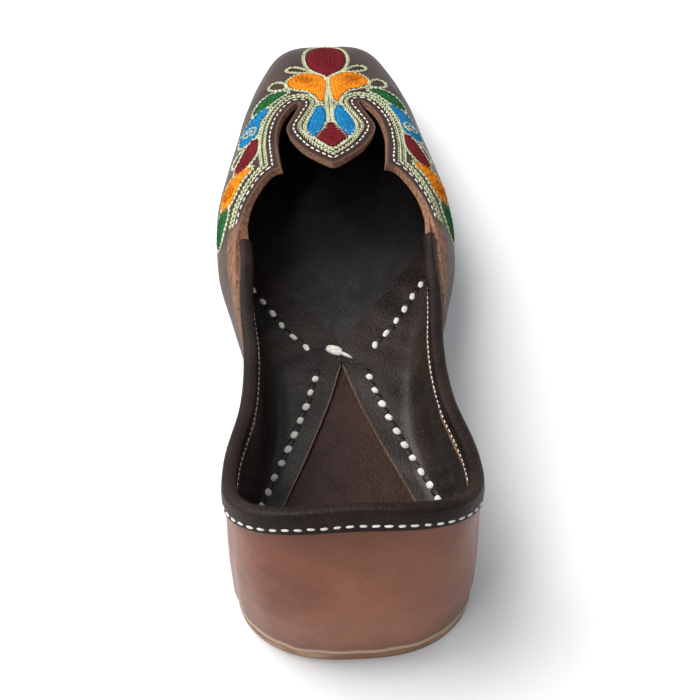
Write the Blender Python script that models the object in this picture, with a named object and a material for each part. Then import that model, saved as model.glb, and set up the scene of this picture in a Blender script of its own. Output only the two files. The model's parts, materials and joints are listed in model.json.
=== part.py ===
"""Mojari shoe: a flat leather slip-on with a spade-shaped tongue, side wings, a bound topline, a flat sole.

The last is a family of upright sections. Each one is cut along a ray that starts on the centre line and
runs outward: the rays fan out round the toe and round the heel and lie square across the shoe between them.
Every piece takes its shape from these sections, so that it keeps to the others when a size changes.
The right half is worked out and mirrored, because a mojari is cut straight, with no left and no right.
"""

from collections import namedtuple

import bmesh
import bpy
import numpy as np
from mathutils import Vector
from mathutils.geometry import delaunay_2d_cdt

MM = 0.001

# Sizes of the whole shoe. Y runs from the heel to the toe, and the floor is at z = 0.
LENGTH = 288 * MM
BALL_WIDTH = 88 * MM
INSTEP_HEIGHT = 54.5 * MM
HEEL_HEIGHT = 62 * MM

# The rays fan out from these two points of the centre line.
TOE_FAN = 58 * MM
HEEL_FAN = 40 * MM

# Leather and sole
UPPER_WALL = 2.0 * MM
VAMP_WALL = 2.4 * MM
LINING_WALL = 1.0 * MM
BINDING_WALL = 0.9 * MM
INSOLE_WALL = 1.8 * MM
MIDSOLE_WALL = 1.0 * MM
OUTSOLE_WALL = 4.0 * MM
SEAM_GAP = 0.3 * MM
BINDING_GAP = 0.35 * MM
LINING_GAP = 0.4 * MM

# Sole
ARCH_LIFT = 1.5 * MM
TOE_SPRING = 4.5 * MM
SOLE_INSET = 0.9 * MM
MIDSOLE_INSET = 0.6 * MM

# Collar
BINDING_OUTSIDE = 6.5 * MM
BINDING_AT_WING = 1.6 * MM
BINDING_INSIDE = 5.5 * MM
COLLAR_FRONT = 150 * MM
BINDING_FRONT = 142 * MM
RIM_OVER_WING = 2.6 * MM

# Lining
LINING_FRONT = 168 * MM
FLOOR_RADIUS = 5 * MM
KNOT_BACK = 112 * MM
KNOT_FRONT = 123 * MM
HEEL_FLANGE = 6 * MM

# The last stands at least this far above the rim, however high the heel is
CROWN_OVER_RIM = 6 * MM

# One row for each section of the last: its place as a share of LENGTH, the half width at its widest and the
# tuck of the wall under it as shares of half BALL_WIDTH, the ridge and the widest point's height as shares
# of INSTEP_HEIGHT.
LastRow = namedtuple("LastRow", "along half_width tuck ridge girth")
LAST = (
    LastRow(along=0.000, half_width=0.895, tuck=0.000, ridge=1.30, girth=0.37),
    LastRow(along=0.070, half_width=0.890, tuck=0.000, ridge=1.27, girth=0.38),
    LastRow(along=0.139, half_width=0.855, tuck=0.045, ridge=1.23, girth=0.40),
    LastRow(along=0.229, half_width=0.735, tuck=0.110, ridge=1.17, girth=0.40),
    LastRow(along=0.337, half_width=0.700, tuck=0.145, ridge=1.10, girth=0.385),
    LastRow(along=0.434, half_width=0.810, tuck=0.135, ridge=1.06, girth=0.37),
    LastRow(along=0.521, half_width=0.955, tuck=0.125, ridge=1.03, girth=0.365),
    LastRow(along=0.590, half_width=0.998, tuck=0.115, ridge=1.00, girth=0.365),
    LastRow(along=0.677, half_width=0.940, tuck=0.105, ridge=0.92, girth=0.345),
    LastRow(along=0.747, half_width=0.855, tuck=0.100, ridge=0.838, girth=0.32),
    LastRow(along=0.833, half_width=0.740, tuck=0.095, ridge=0.725, girth=0.30),
    LastRow(along=0.920, half_width=0.630, tuck=0.090, ridge=0.615, girth=0.275),
    LastRow(along=1.000, half_width=0.570, tuck=0.085, ridge=0.530, girth=0.265),
)

# The topline: height as a share of HEEL_HEIGHT, and how far the rim stands outside the widest point as a
# share of half BALL_WIDTH.
RimRow = namedtuple("RimRow", "along height flare")
RIM = (
    RimRow(along=0.000, height=1.000, flare=-0.273),
    RimRow(along=0.007, height=0.995, flare=-0.240),
    RimRow(along=0.038, height=0.960, flare=-0.110),
    RimRow(along=0.070, height=0.895, flare=-0.050),
    RimRow(along=0.125, height=0.815, flare=-0.030),
    RimRow(along=0.170, height=0.768, flare=-0.015),
    RimRow(along=0.229, height=0.725, flare=-0.005),
    RimRow(along=0.337, height=0.682, flare=0.020),
    RimRow(along=0.434, height=0.690, flare=-0.010),
    RimRow(along=0.521, height=0.712, flare=-0.114),
)

# The throat's edge on the flat pattern, from the collar to the tip of the ear and from there to the tip of
# the tongue: along from the heel as a share of LENGTH, across from the centre line as a share of half
# BALL_WIDTH.
ThroatRow = namedtuple("ThroatRow", "along across")
EAR = (
    ThroatRow(along=0.545, across=0.76),
    ThroatRow(along=0.566, across=0.67),
    ThroatRow(along=0.585, across=0.565),
    ThroatRow(along=0.591, across=0.500),
    ThroatRow(along=0.590, across=0.432),
)
TONGUE = (
    ThroatRow(along=0.604, across=0.445),
    ThroatRow(along=0.634, across=0.462),
    ThroatRow(along=0.663, across=0.474),
    ThroatRow(along=0.693, across=0.462),
    ThroatRow(along=0.718, across=0.428),
    ThroatRow(along=0.740, across=0.367),
    ThroatRow(along=0.754, across=0.307),
    ThroatRow(along=0.757, across=0.272),
    ThroatRow(along=0.748, across=0.262),
    ThroatRow(along=0.723, across=0.312),
    ThroatRow(along=0.697, across=0.370),
    ThroatRow(along=0.680, across=0.378),
    ThroatRow(along=0.658, across=0.340),
    ThroatRow(along=0.626, across=0.248),
    ThroatRow(along=0.602, across=0.124),
    ThroatRow(along=0.588, across=0.025),
    ThroatRow(along=0.587, across=0.000),
)

# Where the sole lies on the floor, as shares of LENGTH.
HEEL_FLAT_END = 0.21
BALL_FLAT_START = 0.53
BALL_FLAT_END = 0.74

# Powers of the curves that close the toe, the heel and each section
TOE_SQUARE = 0.54
HEEL_SQUARE = 0.77
TUCK_POWER = 2.2
FLARE_POWER = 1.5
SPRING_POWER = 1.8
SIDE_ROUND = 2.3
CROWN_ROUND = 2.1
TOE_SIDE_ROUND = 3.6
TOE_CROWN_ROUND = 3.0
SQUARING_START = 190 * MM
SQUARING_LENGTH = 60 * MM

# The wall of the quarter turns into the arch of the vamp between these two places.
ARCH_START = 100 * MM
ARCH_FULL = 150 * MM

# The wing lies over the quarter, thins towards its tail and comes down to the sole at its foot.
WING_TAIL = 106 * MM
WING_FOOT = 88 * MM
WING_TAIL_WALL = 1.4 * MM
VAMP_RISES = 128 * MM
VAMP_SETTLED = 168 * MM
BINDING_NARROWS = 66 * MM

# How finely the shapes are cut
SECTION_STEPS = 40
STATION_STEP = 6 * MM
LOW_ROWS = 4
LOW_ROW_STEP = 3.3 * MM
ROW_STEP = 7.5 * MM
EDGE_STEP = 4.5 * MM
CLEAR_OF_EDGE = 2.6 * MM
REACH = 0.3 * MM
SNAP = 0.001 * MM
TURNS_LEVEL = 8 * MM

TOE, SIDE_START, HEEL_START, BACK = 0.0, 1.0, 2.0, 3.0
SIDE_LENGTH = LENGTH - TOE_FAN - HEEL_FAN
MIDDLE = (LENGTH + VAMP_WALL - UPPER_WALL) / 2
SHARP_ANGLE = np.radians(40)
SOLE_STACK = OUTSOLE_WALL + MIDSOLE_WALL + 2 * SEAM_GAP
FAN_ROOM = 40 * MM

# The lining's flap behind the knot: how far its raw edge lies from the centre line on the floor of the
# shoe, as a share of half BALL_WIDTH.
FlapRow = namedtuple("FlapRow", "along across")
FLAP = (
    FlapRow(along=0.10, across=0.660),
    FlapRow(along=0.125, across=0.610),
    FlapRow(along=0.18, across=0.490),
    FlapRow(along=0.267, across=0.264),
    FlapRow(along=0.337, across=0.100),
    FlapRow(along=0.389, across=0.004),
)
FLAP_AT_FRONT = 31 * MM
SEAM_TURN = 0.004
LINING_STEPS = 5
BEND_STEPS = 4
FLAP_STEPS = 3
SOLE_BEVEL = 0.6 * MM
WING_ROUND = 3.0
TAIL_STEPS = 13
BACK_ROWS = 11
BINDING_SHOULDER = 0.8
SOLE_COLUMNS = 3
LEATHER_ROUGHNESS = 0.5

# Colours
SOLE_COLOUR = (0.42, 0.26, 0.15)
MIDSOLE_COLOUR = (0.035, 0.022, 0.018)
HEEL_SEAT_COLOUR = (0.055, 0.024, 0.018)
FOREPART_COLOUR = (0.022, 0.020, 0.022)
UPPER_COLOUR = (0.16, 0.065, 0.035)
LINING_COLOUR = (0.030, 0.018, 0.015)
BINDING_COLOUR = (0.035, 0.020, 0.017)


def follow(rows, name, along):
    """A cubic curve through one column of a table."""
    at = np.array([row.along for row in rows])
    value = np.array([getattr(row, name) for row in rows])
    slope = np.gradient(value, at)
    row = np.clip(np.searchsorted(at, along) - 1, 0, len(at) - 2)
    step = at[row + 1] - at[row]
    t = np.clip((along - at[row]) / step, 0, 1)
    start = (2 * t**3 - 3 * t**2 + 1) * value[row] + (t**3 - 2 * t**2 + t) * step * slope[row]
    end = (3 * t**2 - 2 * t**3) * value[row + 1] + (t**3 - t**2) * step * slope[row + 1]
    return start + end


def ease(start, end, x):
    """0 before start, 1 after end, and a smooth step between them."""
    t = np.clip((x - start) / (end - start), 0, 1)
    return t * t * (3 - 2 * t)


def lift(y):
    """Height of the sole's underside over the floor."""
    along = y / LENGTH
    middle = (HEEL_FLAT_END + BALL_FLAT_START) / 2
    arch = ease(HEEL_FLAT_END, middle, along) - ease(middle, BALL_FLAT_START, along)
    spring = np.clip((along - BALL_FLAT_END) / (1 - BALL_FLAT_END), 0, 1) ** SPRING_POWER
    return ARCH_LIFT * arch + TOE_SPRING * spring


def turn_at(y):
    """The turn of the square ray that crosses the shoe at y."""
    return SIDE_START + (LENGTH - TOE_FAN - y) / SIDE_LENGTH


Ray = namedtuple("Ray", "root dx dy reach y")


def rays(turn):
    """The ray for each turn: where it starts, which way it runs and how far out the last is widest."""
    toe = np.clip(turn, TOE, SIDE_START) * np.pi / 2
    heel = np.clip(turn - HEEL_START, 0, 1) * np.pi / 2
    in_toe = turn < SIDE_START
    in_heel = turn > HEEL_START
    y = np.clip(LENGTH - TOE_FAN - (turn - SIDE_START) * SIDE_LENGTH, HEEL_FAN, LENGTH - TOE_FAN)
    root = y
    y = np.where(in_toe, y + TOE_FAN * np.cos(toe) ** TOE_SQUARE, y)
    y = np.where(in_heel, y - HEEL_FAN * np.sin(heel) ** HEEL_SQUARE, y)
    narrowing = np.where(in_toe, np.sin(toe) ** TOE_SQUARE, np.cos(heel) ** HEEL_SQUARE)
    x = follow(LAST, "half_width", y / LENGTH) * BALL_WIDTH / 2 * narrowing
    reach = np.hypot(x, y - root)
    return Ray(root, x / reach, (y - root) / reach, reach, y)


def sections(turn):
    """Each ray's section from the feather edge up to the ridge: distances out, heights, widest height."""
    ray = rays(turn)
    along = ray.y / LENGTH
    feather = (lift(ray.y) + SOLE_STACK)[:, None]
    widest = (follow(LAST, "girth", along) * INSTEP_HEIGHT)[:, None]
    tuck = (follow(LAST, "tuck", along) * BALL_WIDTH / 2)[:, None]
    flare = (follow(RIM, "flare", along) * BALL_WIDTH / 2)[:, None]
    rim = (follow(RIM, "height", along) * HEEL_HEIGHT)[:, None]
    reach = ray.reach[:, None]
    drop = np.linspace(1, 0, SECTION_STEPS // 3)[None, :]
    low_out = reach - tuck * drop**TUCK_POWER
    low_z = widest - (widest - feather) * drop
    square = ease(SQUARING_START, SQUARING_START + SQUARING_LENGTH, ray.y)[:, None]
    side_round = SIDE_ROUND + (TOE_SIDE_ROUND - SIDE_ROUND) * square
    crown_round = CROWN_ROUND + (TOE_CROWN_ROUND - CROWN_ROUND) * square
    angle = np.linspace(0, np.pi / 2, SECTION_STEPS)[None, 1:]
    arch_out = reach * np.clip(np.cos(angle), 0, 1) ** (2 / side_round)
    ridge = follow(LAST, "ridge", (ray.root[:, None] + ray.dy[:, None] * arch_out) / LENGTH) * INSTEP_HEIGHT
    arched = ease(ARCH_START, ARCH_FULL, ray.y)[:, None]
    ridge = np.maximum(ridge, (rim + CROWN_OVER_RIM) * (1 - arched))
    high_z = widest + (ridge - widest) * np.sin(angle) ** (2 / crown_round)
    wall_out = reach + flare * np.clip((high_z - widest) / (rim - widest), 0, 1.2) ** FLARE_POWER
    high_out = wall_out + (arch_out - wall_out) * arched
    return ray, np.hstack([low_out, high_out]), np.hstack([low_z, high_z]), widest[:, 0]


def girths(out, z):
    """Length along each section from the feather edge to each of its points."""
    steps = np.hypot(np.diff(out, axis=1), np.diff(z, axis=1))
    return np.hstack([np.zeros((len(out), 1)), np.cumsum(steps, axis=1)])


def pick(table, at, value):
    """For each row, the value where the table reaches at."""
    row = np.arange(len(at))
    last = np.clip((table < at[:, None]).sum(axis=1), 1, table.shape[1] - 1)
    t = (at - table[row, last - 1]) / (table[row, last] - table[row, last - 1])
    return value[row, last - 1] + np.clip(t, 0, 1) * (value[row, last] - value[row, last - 1])


def up_at_height(turn, height):
    """Length along each section from the feather edge up to a height."""
    ray, out, z, widest = sections(turn)
    return pick(z, height, girths(out, z))


def rim_up(turn):
    """Length along each section from the feather edge to the rim."""
    return up_at_height(turn, follow(RIM, "height", rays(turn).y / LENGTH) * HEEL_HEIGHT)


def on_last(turn, up):
    """The point of the last at each turn and length up its section, with the height where it is widest."""
    ray, out, z, widest = sections(turn)
    length = girths(out, z)
    distance = pick(length, up, out)
    height = pick(length, up, z)
    point = np.column_stack([ray.dx * distance, ray.root + ray.dy * distance, height])
    return point, ray, widest


def room(y):
    """How far the flat pattern is opened out from the centre line behind the vamp."""
    return FAN_ROOM * (1 - ease(HEEL_FAN, ARCH_FULL, y))


def radius_on_pattern(turn):
    ray, out, z, widest = sections(turn)
    return room(ray.y) + girths(out, z)[:, -1]


def to_pattern(turn, up):
    """The flat pattern: each section laid out flat along its own ray."""
    ray = rays(turn)
    radius = radius_on_pattern(turn) - up
    across = ray.dx * radius
    return np.column_stack([np.where(across < SNAP, 0, across), ray.root + ray.dy * radius])


def from_pattern(flat):
    """The turn and the length up the section for each point of the flat pattern."""
    across, along = np.abs(flat[:, 0]), flat[:, 1]
    toe_start = LENGTH - TOE_FAN
    toe_turns = np.linspace(TOE, SIDE_START, 400)
    heel_turns = np.linspace(HEEL_START, BACK, 400)
    toe_rays, heel_rays = rays(toe_turns), rays(heel_turns)
    toe = np.interp(np.arctan2(across, along - toe_start), np.arctan2(toe_rays.dx, toe_rays.dy), toe_turns)
    heel = np.interp(np.arctan2(across, along - HEEL_FAN), np.arctan2(heel_rays.dx, heel_rays.dy), heel_turns)
    turn = np.select([along > toe_start, along < HEEL_FAN], [toe, heel], turn_at(along))
    radius = np.hypot(across, along - rays(turn).root)
    return turn, np.clip(radius_on_pattern(turn) - radius, 0, None)


def surface(flat):
    """Points of the last for points of the flat pattern, on both sides of the centre line."""
    point = on_last(*from_pattern(flat))[0]
    point[:, 0] = np.where(flat[:, 0] < 0, -point[:, 0], point[:, 0])
    return point


def place_flat(flat, offset):
    """Points of the flat pattern set on the last and moved out by offset, squarely or, low down, level."""
    right = np.column_stack([np.abs(flat[:, 0]), flat[:, 1]])
    point, ray, widest = on_last(*from_pattern(right))
    across = surface(right + [REACH, 0]) - surface(right - [REACH, 0])
    along = surface(right + [0, REACH]) - surface(right - [0, REACH])
    normal = np.cross(across, along)
    normal /= np.linalg.norm(normal, axis=1)[:, None]
    level = np.column_stack([ray.dx, ray.dy, np.zeros(len(point))])
    normal = level + (normal - level) * ease(0, TURNS_LEVEL, point[:, 2] - widest)[:, None]
    normal /= np.linalg.norm(normal, axis=1)[:, None]
    point += normal * np.asarray(offset)[:, None]
    point[:, 0] = np.where(np.abs(point[:, 0]) < SNAP, 0, point[:, 0]) * np.where(flat[:, 0] < 0, -1, 1)
    return point


def place(turn, up, offset):
    """Points given by turn and length up the section, set on the last and moved out by offset."""
    turn, up, offset = np.broadcast_arrays(turn, up, offset)
    flat = to_pattern(turn.ravel(), up.ravel())
    return place_flat(flat, offset.ravel()).reshape(turn.shape + (3,))


def smooth_line(points, step):
    """A Catmull-Rom curve through the points, with a point about every step."""
    before = 2 * points[0] - points[1]
    after = 2 * points[-1] - points[-2]
    knots = np.vstack([before, points, after])
    line = [points[:1]]
    for a, b, c, d in zip(knots, knots[1:], knots[2:], knots[3:]):
        count = max(1, int(round(np.linalg.norm(c - b) / step)))
        t = (np.arange(1, count + 1) / count)[:, None]
        curve = (2 * a - 5 * b + 4 * c - d) * t**2 + (3 * b - a - 3 * c + d) * t**3
        line.append(b + ((c - a) * t + curve) / 2)
    return np.vstack(line)


def inside(outline, points):
    """Whether each point lies inside a closed flat outline."""
    x, y = points[:, 0:1], points[:, 1:2]
    x0, y0 = outline[:, 0], outline[:, 1]
    x1, y1 = np.roll(x0, -1), np.roll(y0, -1)
    rises = (y0 > y) != (y1 > y)
    with np.errstate(divide="ignore", invalid="ignore"):
        crossing = x0 + (y - y0) / (y1 - y0) * (x1 - x0)
    return ((rises & (x < crossing)).sum(axis=1) % 2).astype(bool)


def clear_of(lines, points, gap):
    """Whether each point lies at least gap away from every point of the lines."""
    away = np.linalg.norm(points[:, None, :] - lines[None, :, :], axis=2)
    return away.min(axis=1) > gap


def turns_by_step(start, end, step):
    """Turns from start to end whose places on the widest line are about a step apart."""
    fine = np.linspace(start, end, 600)
    ray = rays(fine)
    x, y = ray.dx * ray.reach, ray.root + ray.dy * ray.reach
    length = np.concatenate([[0], np.cumsum(np.hypot(np.diff(x), np.diff(y)))])
    count = max(2, int(round(length[-1] / step)) + 1)
    return np.interp(np.linspace(0, length[-1], count), length, fine)


def make_object(name, points, faces, colour, roughness=LEATHER_ROUGHNESS, mirrored=False):
    """A mesh object from points and faces, with its material, and its other half where it is mirrored."""
    mesh = bpy.data.meshes.new(name)
    mesh.from_pydata([(x, y - MIDDLE, z) for x, y, z in points], [], [tuple(face) for face in faces])
    work = bmesh.new()
    work.from_mesh(mesh)
    bmesh.ops.remove_doubles(work, verts=work.verts, dist=SNAP)
    work.to_mesh(mesh)
    work.free()
    mesh.shade_smooth()
    mesh.set_sharp_from_angle(angle=SHARP_ANGLE)
    piece = bpy.data.objects.new(name, mesh)
    bpy.context.scene.collection.objects.link(piece)
    material = bpy.data.materials.new(name)
    material.use_nodes = True
    shader = material.node_tree.nodes["Principled BSDF"]
    shader.inputs["Base Color"].default_value = (*colour, 1)
    shader.inputs["Roughness"].default_value = roughness
    shader.inputs["Metallic"].default_value = 0
    mesh.materials.append(material)
    if mirrored:
        mirror = piece.modifiers.new("other half", "MIRROR")
        mirror.use_clip = True
        mirror.merge_threshold = 2 * SNAP
    return piece


def slab(face, back, walls):
    """Points and faces of a plate between two grids, walled along the sides named in walls."""
    rows, columns = face.shape[:2]
    top = np.arange(rows * columns).reshape(rows, columns)
    under = top + rows * columns
    quads = np.stack([top[:-1, :-1], top[1:, :-1], top[1:, 1:], top[:-1, 1:]], -1).reshape(-1, 4)
    faces = quads.tolist() + (quads[:, ::-1] + rows * columns).tolist()
    sides = {
        "start": (top[0, :], under[0, :]),
        "end": (top[-1, ::-1], under[-1, ::-1]),
        "first": (top[::-1, 0], under[::-1, 0]),
        "last": (top[:, -1], under[:, -1]),
    }
    for side in walls:
        upper_edge, lower_edge = sides[side]
        wall = [upper_edge[:-1], upper_edge[1:], lower_edge[1:], lower_edge[:-1]]
        faces += np.stack(wall, -1).tolist()
    return np.vstack([face.reshape(-1, 3), back.reshape(-1, 3)]), faces


def stations(start, end):
    """The turns from start to end at which all pieces are cut, so that their facets lie side by side."""
    collar = turn_at(BINDING_FRONT)
    front = turns_by_step(TOE, collar, STATION_STEP)
    rear = turns_by_step(collar, BACK, STATION_STEP)
    turns = np.concatenate([front, rear[1:]])
    clear = 0.1 * STATION_STEP / SIDE_LENGTH
    between = turns[(turns > start + clear) & (turns < end - clear)]
    return np.concatenate([[start], between, [end]])


def outside_leg(turns):
    """How far the binding comes down outside the rim."""
    narrow = ease(BINDING_NARROWS, WING_FOOT, rays(turns).y)
    return BINDING_OUTSIDE + (BINDING_AT_WING - BINDING_OUTSIDE) * narrow


def feather_line(turns):
    """The feather edge on the flat pattern."""
    return to_pattern(turns, np.zeros(len(turns)))


def wing_line():
    """The wing's edge on the flat pattern, from the sole up its tail and forward under the rim."""
    foot_turn = turn_at(WING_FOOT)
    rise = np.linspace(0, 1, TAIL_STEPS)
    y = WING_FOOT + (WING_TAIL - WING_FOOT) * (1 - (1 - rise**WING_ROUND) ** (1 / WING_ROUND))
    turns = turn_at(y)
    tail = to_pattern(turns, rise * (rim_up(turns) - RIM_OVER_WING))
    y = np.linspace(WING_TAIL, COLLAR_FRONT, TAIL_STEPS)[1:]
    turns = turn_at(y)
    under_rim = RIM_OVER_WING * (1 - ease(BINDING_FRONT, COLLAR_FRONT, y))
    return foot_turn, np.vstack([tail, to_pattern(turns, rim_up(turns) - under_rim)])


def wing_offset(flat):
    """How far the vamp's outer face stands outside the quarter's."""
    y = flat[:, 1]
    tail = WING_TAIL_WALL + (VAMP_WALL - WING_TAIL_WALL) * ease(WING_FOOT, VAMP_RISES, y)
    return tail - UPPER_WALL * ease(VAMP_RISES, VAMP_SETTLED, y)


def make_upper():
    """The vamp, its wings and the quarter as one hollow body that steps out at the wing's edge."""
    foot_turn, wing = wing_line()
    corner = wing[-1]
    ear = np.array([(row.across * BALL_WIDTH / 2, row.along * LENGTH) for row in EAR])
    tongue = np.array([(row.across * BALL_WIDTH / 2, row.along * LENGTH) for row in TONGUE])
    throat = np.vstack([
        smooth_line(np.vstack([corner, ear]), EDGE_STEP),
        smooth_line(np.vstack([ear[-1], tongue]), EDGE_STEP)[1:],
    ])
    front = stations(TOE, foot_turn)
    rear = stations(foot_turn, BACK)
    heel_rise = np.linspace(0, 1, BACK_ROWS)[1:-1]
    back_turns = np.full(len(heel_rise), BACK)
    collar = np.append(stations(turn_at(BINDING_FRONT), BACK)[::-1], turn_at(COLLAR_FRONT))
    feather_front = feather_line(front)
    middle_count = int((feather_front[0, 1] - throat[-1, 1]) / STATION_STEP)
    middle = np.linspace(throat[-1, 1], feather_front[0, 1], middle_count)[1:-1]
    lines = [
        feather_front,
        feather_line(rear[1:]),
        to_pattern(back_turns, heel_rise * rim_up(back_turns)),
        to_pattern(collar[:-1], rim_up(collar[:-1])),
        throat,
        np.column_stack([np.zeros(len(middle)), middle]),
    ]
    outline = np.vstack(lines)
    outline[outline[:, 0] < SNAP, 0] = 0
    foot = len(feather_front) - 1
    crossing = sum(len(line) for line in lines[:4])
    turns = stations(TOE, BACK)
    low_ups = np.arange(1, LOW_ROWS + 1) * LOW_ROW_STEP
    ups = np.append(low_ups, np.arange(low_ups[-1] + ROW_STEP, BALL_WIDTH, ROW_STEP))
    grid_turn, grid_up = (a.ravel() for a in np.meshgrid(turns, ups, indexing="ij"))
    grid = to_pattern(grid_turn, grid_up)
    grid = grid[grid_up < radius_on_pattern(grid_turn) - room(rays(grid_turn).y)]
    leg_turns = stations(turn_at(BINDING_FRONT), BACK)
    leg_turns = leg_turns[leg_turns > turn_at(WING_FOOT)]
    under_binding = to_pattern(leg_turns, rim_up(leg_turns) - outside_leg(leg_turns))
    grid = np.vstack([under_binding, grid])
    grid = grid[inside(outline, grid)]
    grid = grid[clear_of(np.vstack([outline, wing]), grid, CLEAR_OF_EDGE)]
    grid = grid[grid[:, 0] > CLEAR_OF_EDGE]
    grid = thin_out(grid, CLEAR_OF_EDGE)
    between = wing[1:-1]
    flat = np.vstack([outline, between, grid])
    chain = [foot] + list(range(len(outline), len(outline) + len(between))) + [crossing]
    ring = list(zip(range(len(outline)), list(range(1, len(outline))) + [0]))
    triangles = triangulate(flat, ring + list(zip(chain, chain[1:])), outline)
    wing_zone = np.vstack([wing, outline[crossing + 1 :], outline[:foot]])
    thick = inside(wing_zone, flat[triangles].mean(axis=1))
    thin_copy = np.arange(len(flat))
    thick_copy = thin_copy.copy()
    thick_copy[chain] = len(flat) + np.arange(len(chain))
    in_front = np.zeros(len(flat), bool)
    in_front[triangles[thick].ravel()] = True
    in_front[chain] = False
    offset = np.where(in_front, wing_offset(flat), 0)
    outer = place_flat(flat, offset)
    raised = place_flat(flat[chain], wing_offset(flat[chain]))
    inner = place_flat(flat, np.full(len(flat), -UPPER_WALL))
    first_inner = len(outer) + len(raised)
    faces = []
    half_edges = {}
    for corners, is_thick in zip(triangles, thick):
        copy = thick_copy if is_thick else thin_copy
        faces.append([copy[c] for c in corners])
        faces.append([first_inner + c for c in corners[::-1]])
        for a, b in zip(corners, np.roll(corners, -1)):
            half_edges[a, b] = copy
    for (a, b), copy in half_edges.items():
        on_centre = flat[a, 0] == 0 and flat[b, 0] == 0
        if (b, a) not in half_edges and not on_centre:
            faces.append([copy[b], copy[a], first_inner + a, first_inner + b])
    for a, b in zip(chain, chain[1:]):
        low, high = (a, b) if half_edges[a, b] is thin_copy else (b, a)
        faces.append([thin_copy[high], thin_copy[low], thick_copy[low], thick_copy[high]])
    for end in (foot, crossing):
        faces += end_wall(end, half_edges, thin_copy, thick_copy, first_inner)
    make_object("upper", np.vstack([outer, raised, inner]), faces, UPPER_COLOUR, mirrored=True)


def end_wall(end, half_edges, thin_copy, thick_copy, first_inner):
    """The sliver of wall between the two heights of the step where it reaches the edge of the upper."""
    for (a, b), copy in half_edges.items():
        if b == end and (b, a) not in half_edges:
            arriving = copy
    before, after = arriving[end], (thin_copy if arriving is thick_copy else thick_copy)[end]
    return [[after, before, first_inner + end]]


def thin_out(points, gap):
    """The points with each one that is nearer than gap to an earlier one left out."""
    kept = []
    for point in points:
        if all(np.hypot(*(point - other)) >= gap for other in kept):
            kept.append(point)
    return np.array(kept)


def triangulate(flat, edges, outline):
    """Triangles of a flat outline through all its points, turned to face up."""
    corners = [tuple(p) for p in flat / MM]
    result = delaunay_2d_cdt([Vector(c) for c in corners], edges, [], 0, 1e-5)
    origin = [source[0] for source in result[3]]
    triangles = np.array([[origin[i] for i in face] for face in result[2]])
    triangles = triangles[inside(outline, flat[triangles].mean(axis=1))]
    a, b, c = (flat[triangles[:, i]] for i in range(3))
    area = (b[:, 0] - a[:, 0]) * (c[:, 1] - a[:, 1]) - (b[:, 1] - a[:, 1]) * (c[:, 0] - a[:, 0])
    triangles[area < 0] = triangles[area < 0][:, ::-1]
    return triangles[np.abs(area) > SNAP * EDGE_STEP]


def along_rays(turns, distances, z):
    """A grid of points at the given distances out along each ray, at height z over the sole's lift there."""
    ray = rays(turns)
    x = ray.dx[:, None] * distances
    y = ray.root[:, None] + ray.dy[:, None] * distances
    return np.stack([x, y, lift(y) + z], -1)


def feather(turns, inset):
    """How far out along each ray the feather edge lies, less an inset."""
    out = sections(turns)[1]
    return out[:, 0] - inset


def make_layer(name, turns, inset, bottom, thickness, walls, colour, bevel=0):
    """A flat layer of the bottom of the shoe that reaches from its outline to the centre line."""
    edge = feather(turns, inset)[:, None]
    share = np.linspace(1, 0, SOLE_COLUMNS)[None, :]
    distances = edge * share
    top = np.full(distances.shape, bottom + thickness)
    low = np.full(distances.shape, bottom)
    if bevel:
        distances = np.hstack([edge, (edge - bevel) * share])
        top = np.hstack([top[:, :1] - bevel, top])
        low = np.hstack([low[:, :1] + bevel, low])
    points, faces = slab(along_rays(turns, distances, low), along_rays(turns, distances, top), walls)
    make_object(name, points, faces, colour, mirrored=True)


def make_soles():
    """The outsole, the midsole and the two insoles, one above the other."""
    whole = stations(TOE, BACK)
    edge = SOLE_INSET + MIDSOLE_INSET
    make_layer("outsole", whole, SOLE_INSET, 0, OUTSOLE_WALL, ["first"], SOLE_COLOUR, bevel=SOLE_BEVEL)
    make_layer("midsole", whole, edge, OUTSOLE_WALL + SEAM_GAP, MIDSOLE_WALL, ["first"], MIDSOLE_COLOUR)
    inset = UPPER_WALL + SEAM_GAP
    split = (KNOT_BACK + KNOT_FRONT) / 2
    fore = stations(TOE, turn_at(split + SEAM_GAP / 2))
    heel = stations(turn_at(split - SEAM_GAP / 2), BACK)
    make_layer("insole_forepart", fore, inset, SOLE_STACK, INSOLE_WALL, ["first", "end"], FOREPART_COLOUR)
    make_layer("insole_heel", heel, inset, SOLE_STACK, INSOLE_WALL, ["first", "start"], HEEL_SEAT_COLOUR)


def flap_edge(turns, floor_out):
    """How far out along each ray the edge of the lining's flap lies on the floor of the shoe."""
    ray = rays(turns)
    y = ray.y
    front = (y - KNOT_FRONT) / (LINING_FRONT - KNOT_FRONT) * FLAP_AT_FRONT
    rear = follow(FLAP, "across", y / LENGTH) * BALL_WIDTH / 2
    edge = np.where(y > KNOT_FRONT, front, np.where(y > KNOT_BACK, 0, rear))
    at_heel = floor_out - HEEL_FLANGE
    edge = np.where(turns > HEEL_START, at_heel, np.minimum(edge, at_heel))
    return np.maximum(edge, SEAM_GAP / 2)


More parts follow.
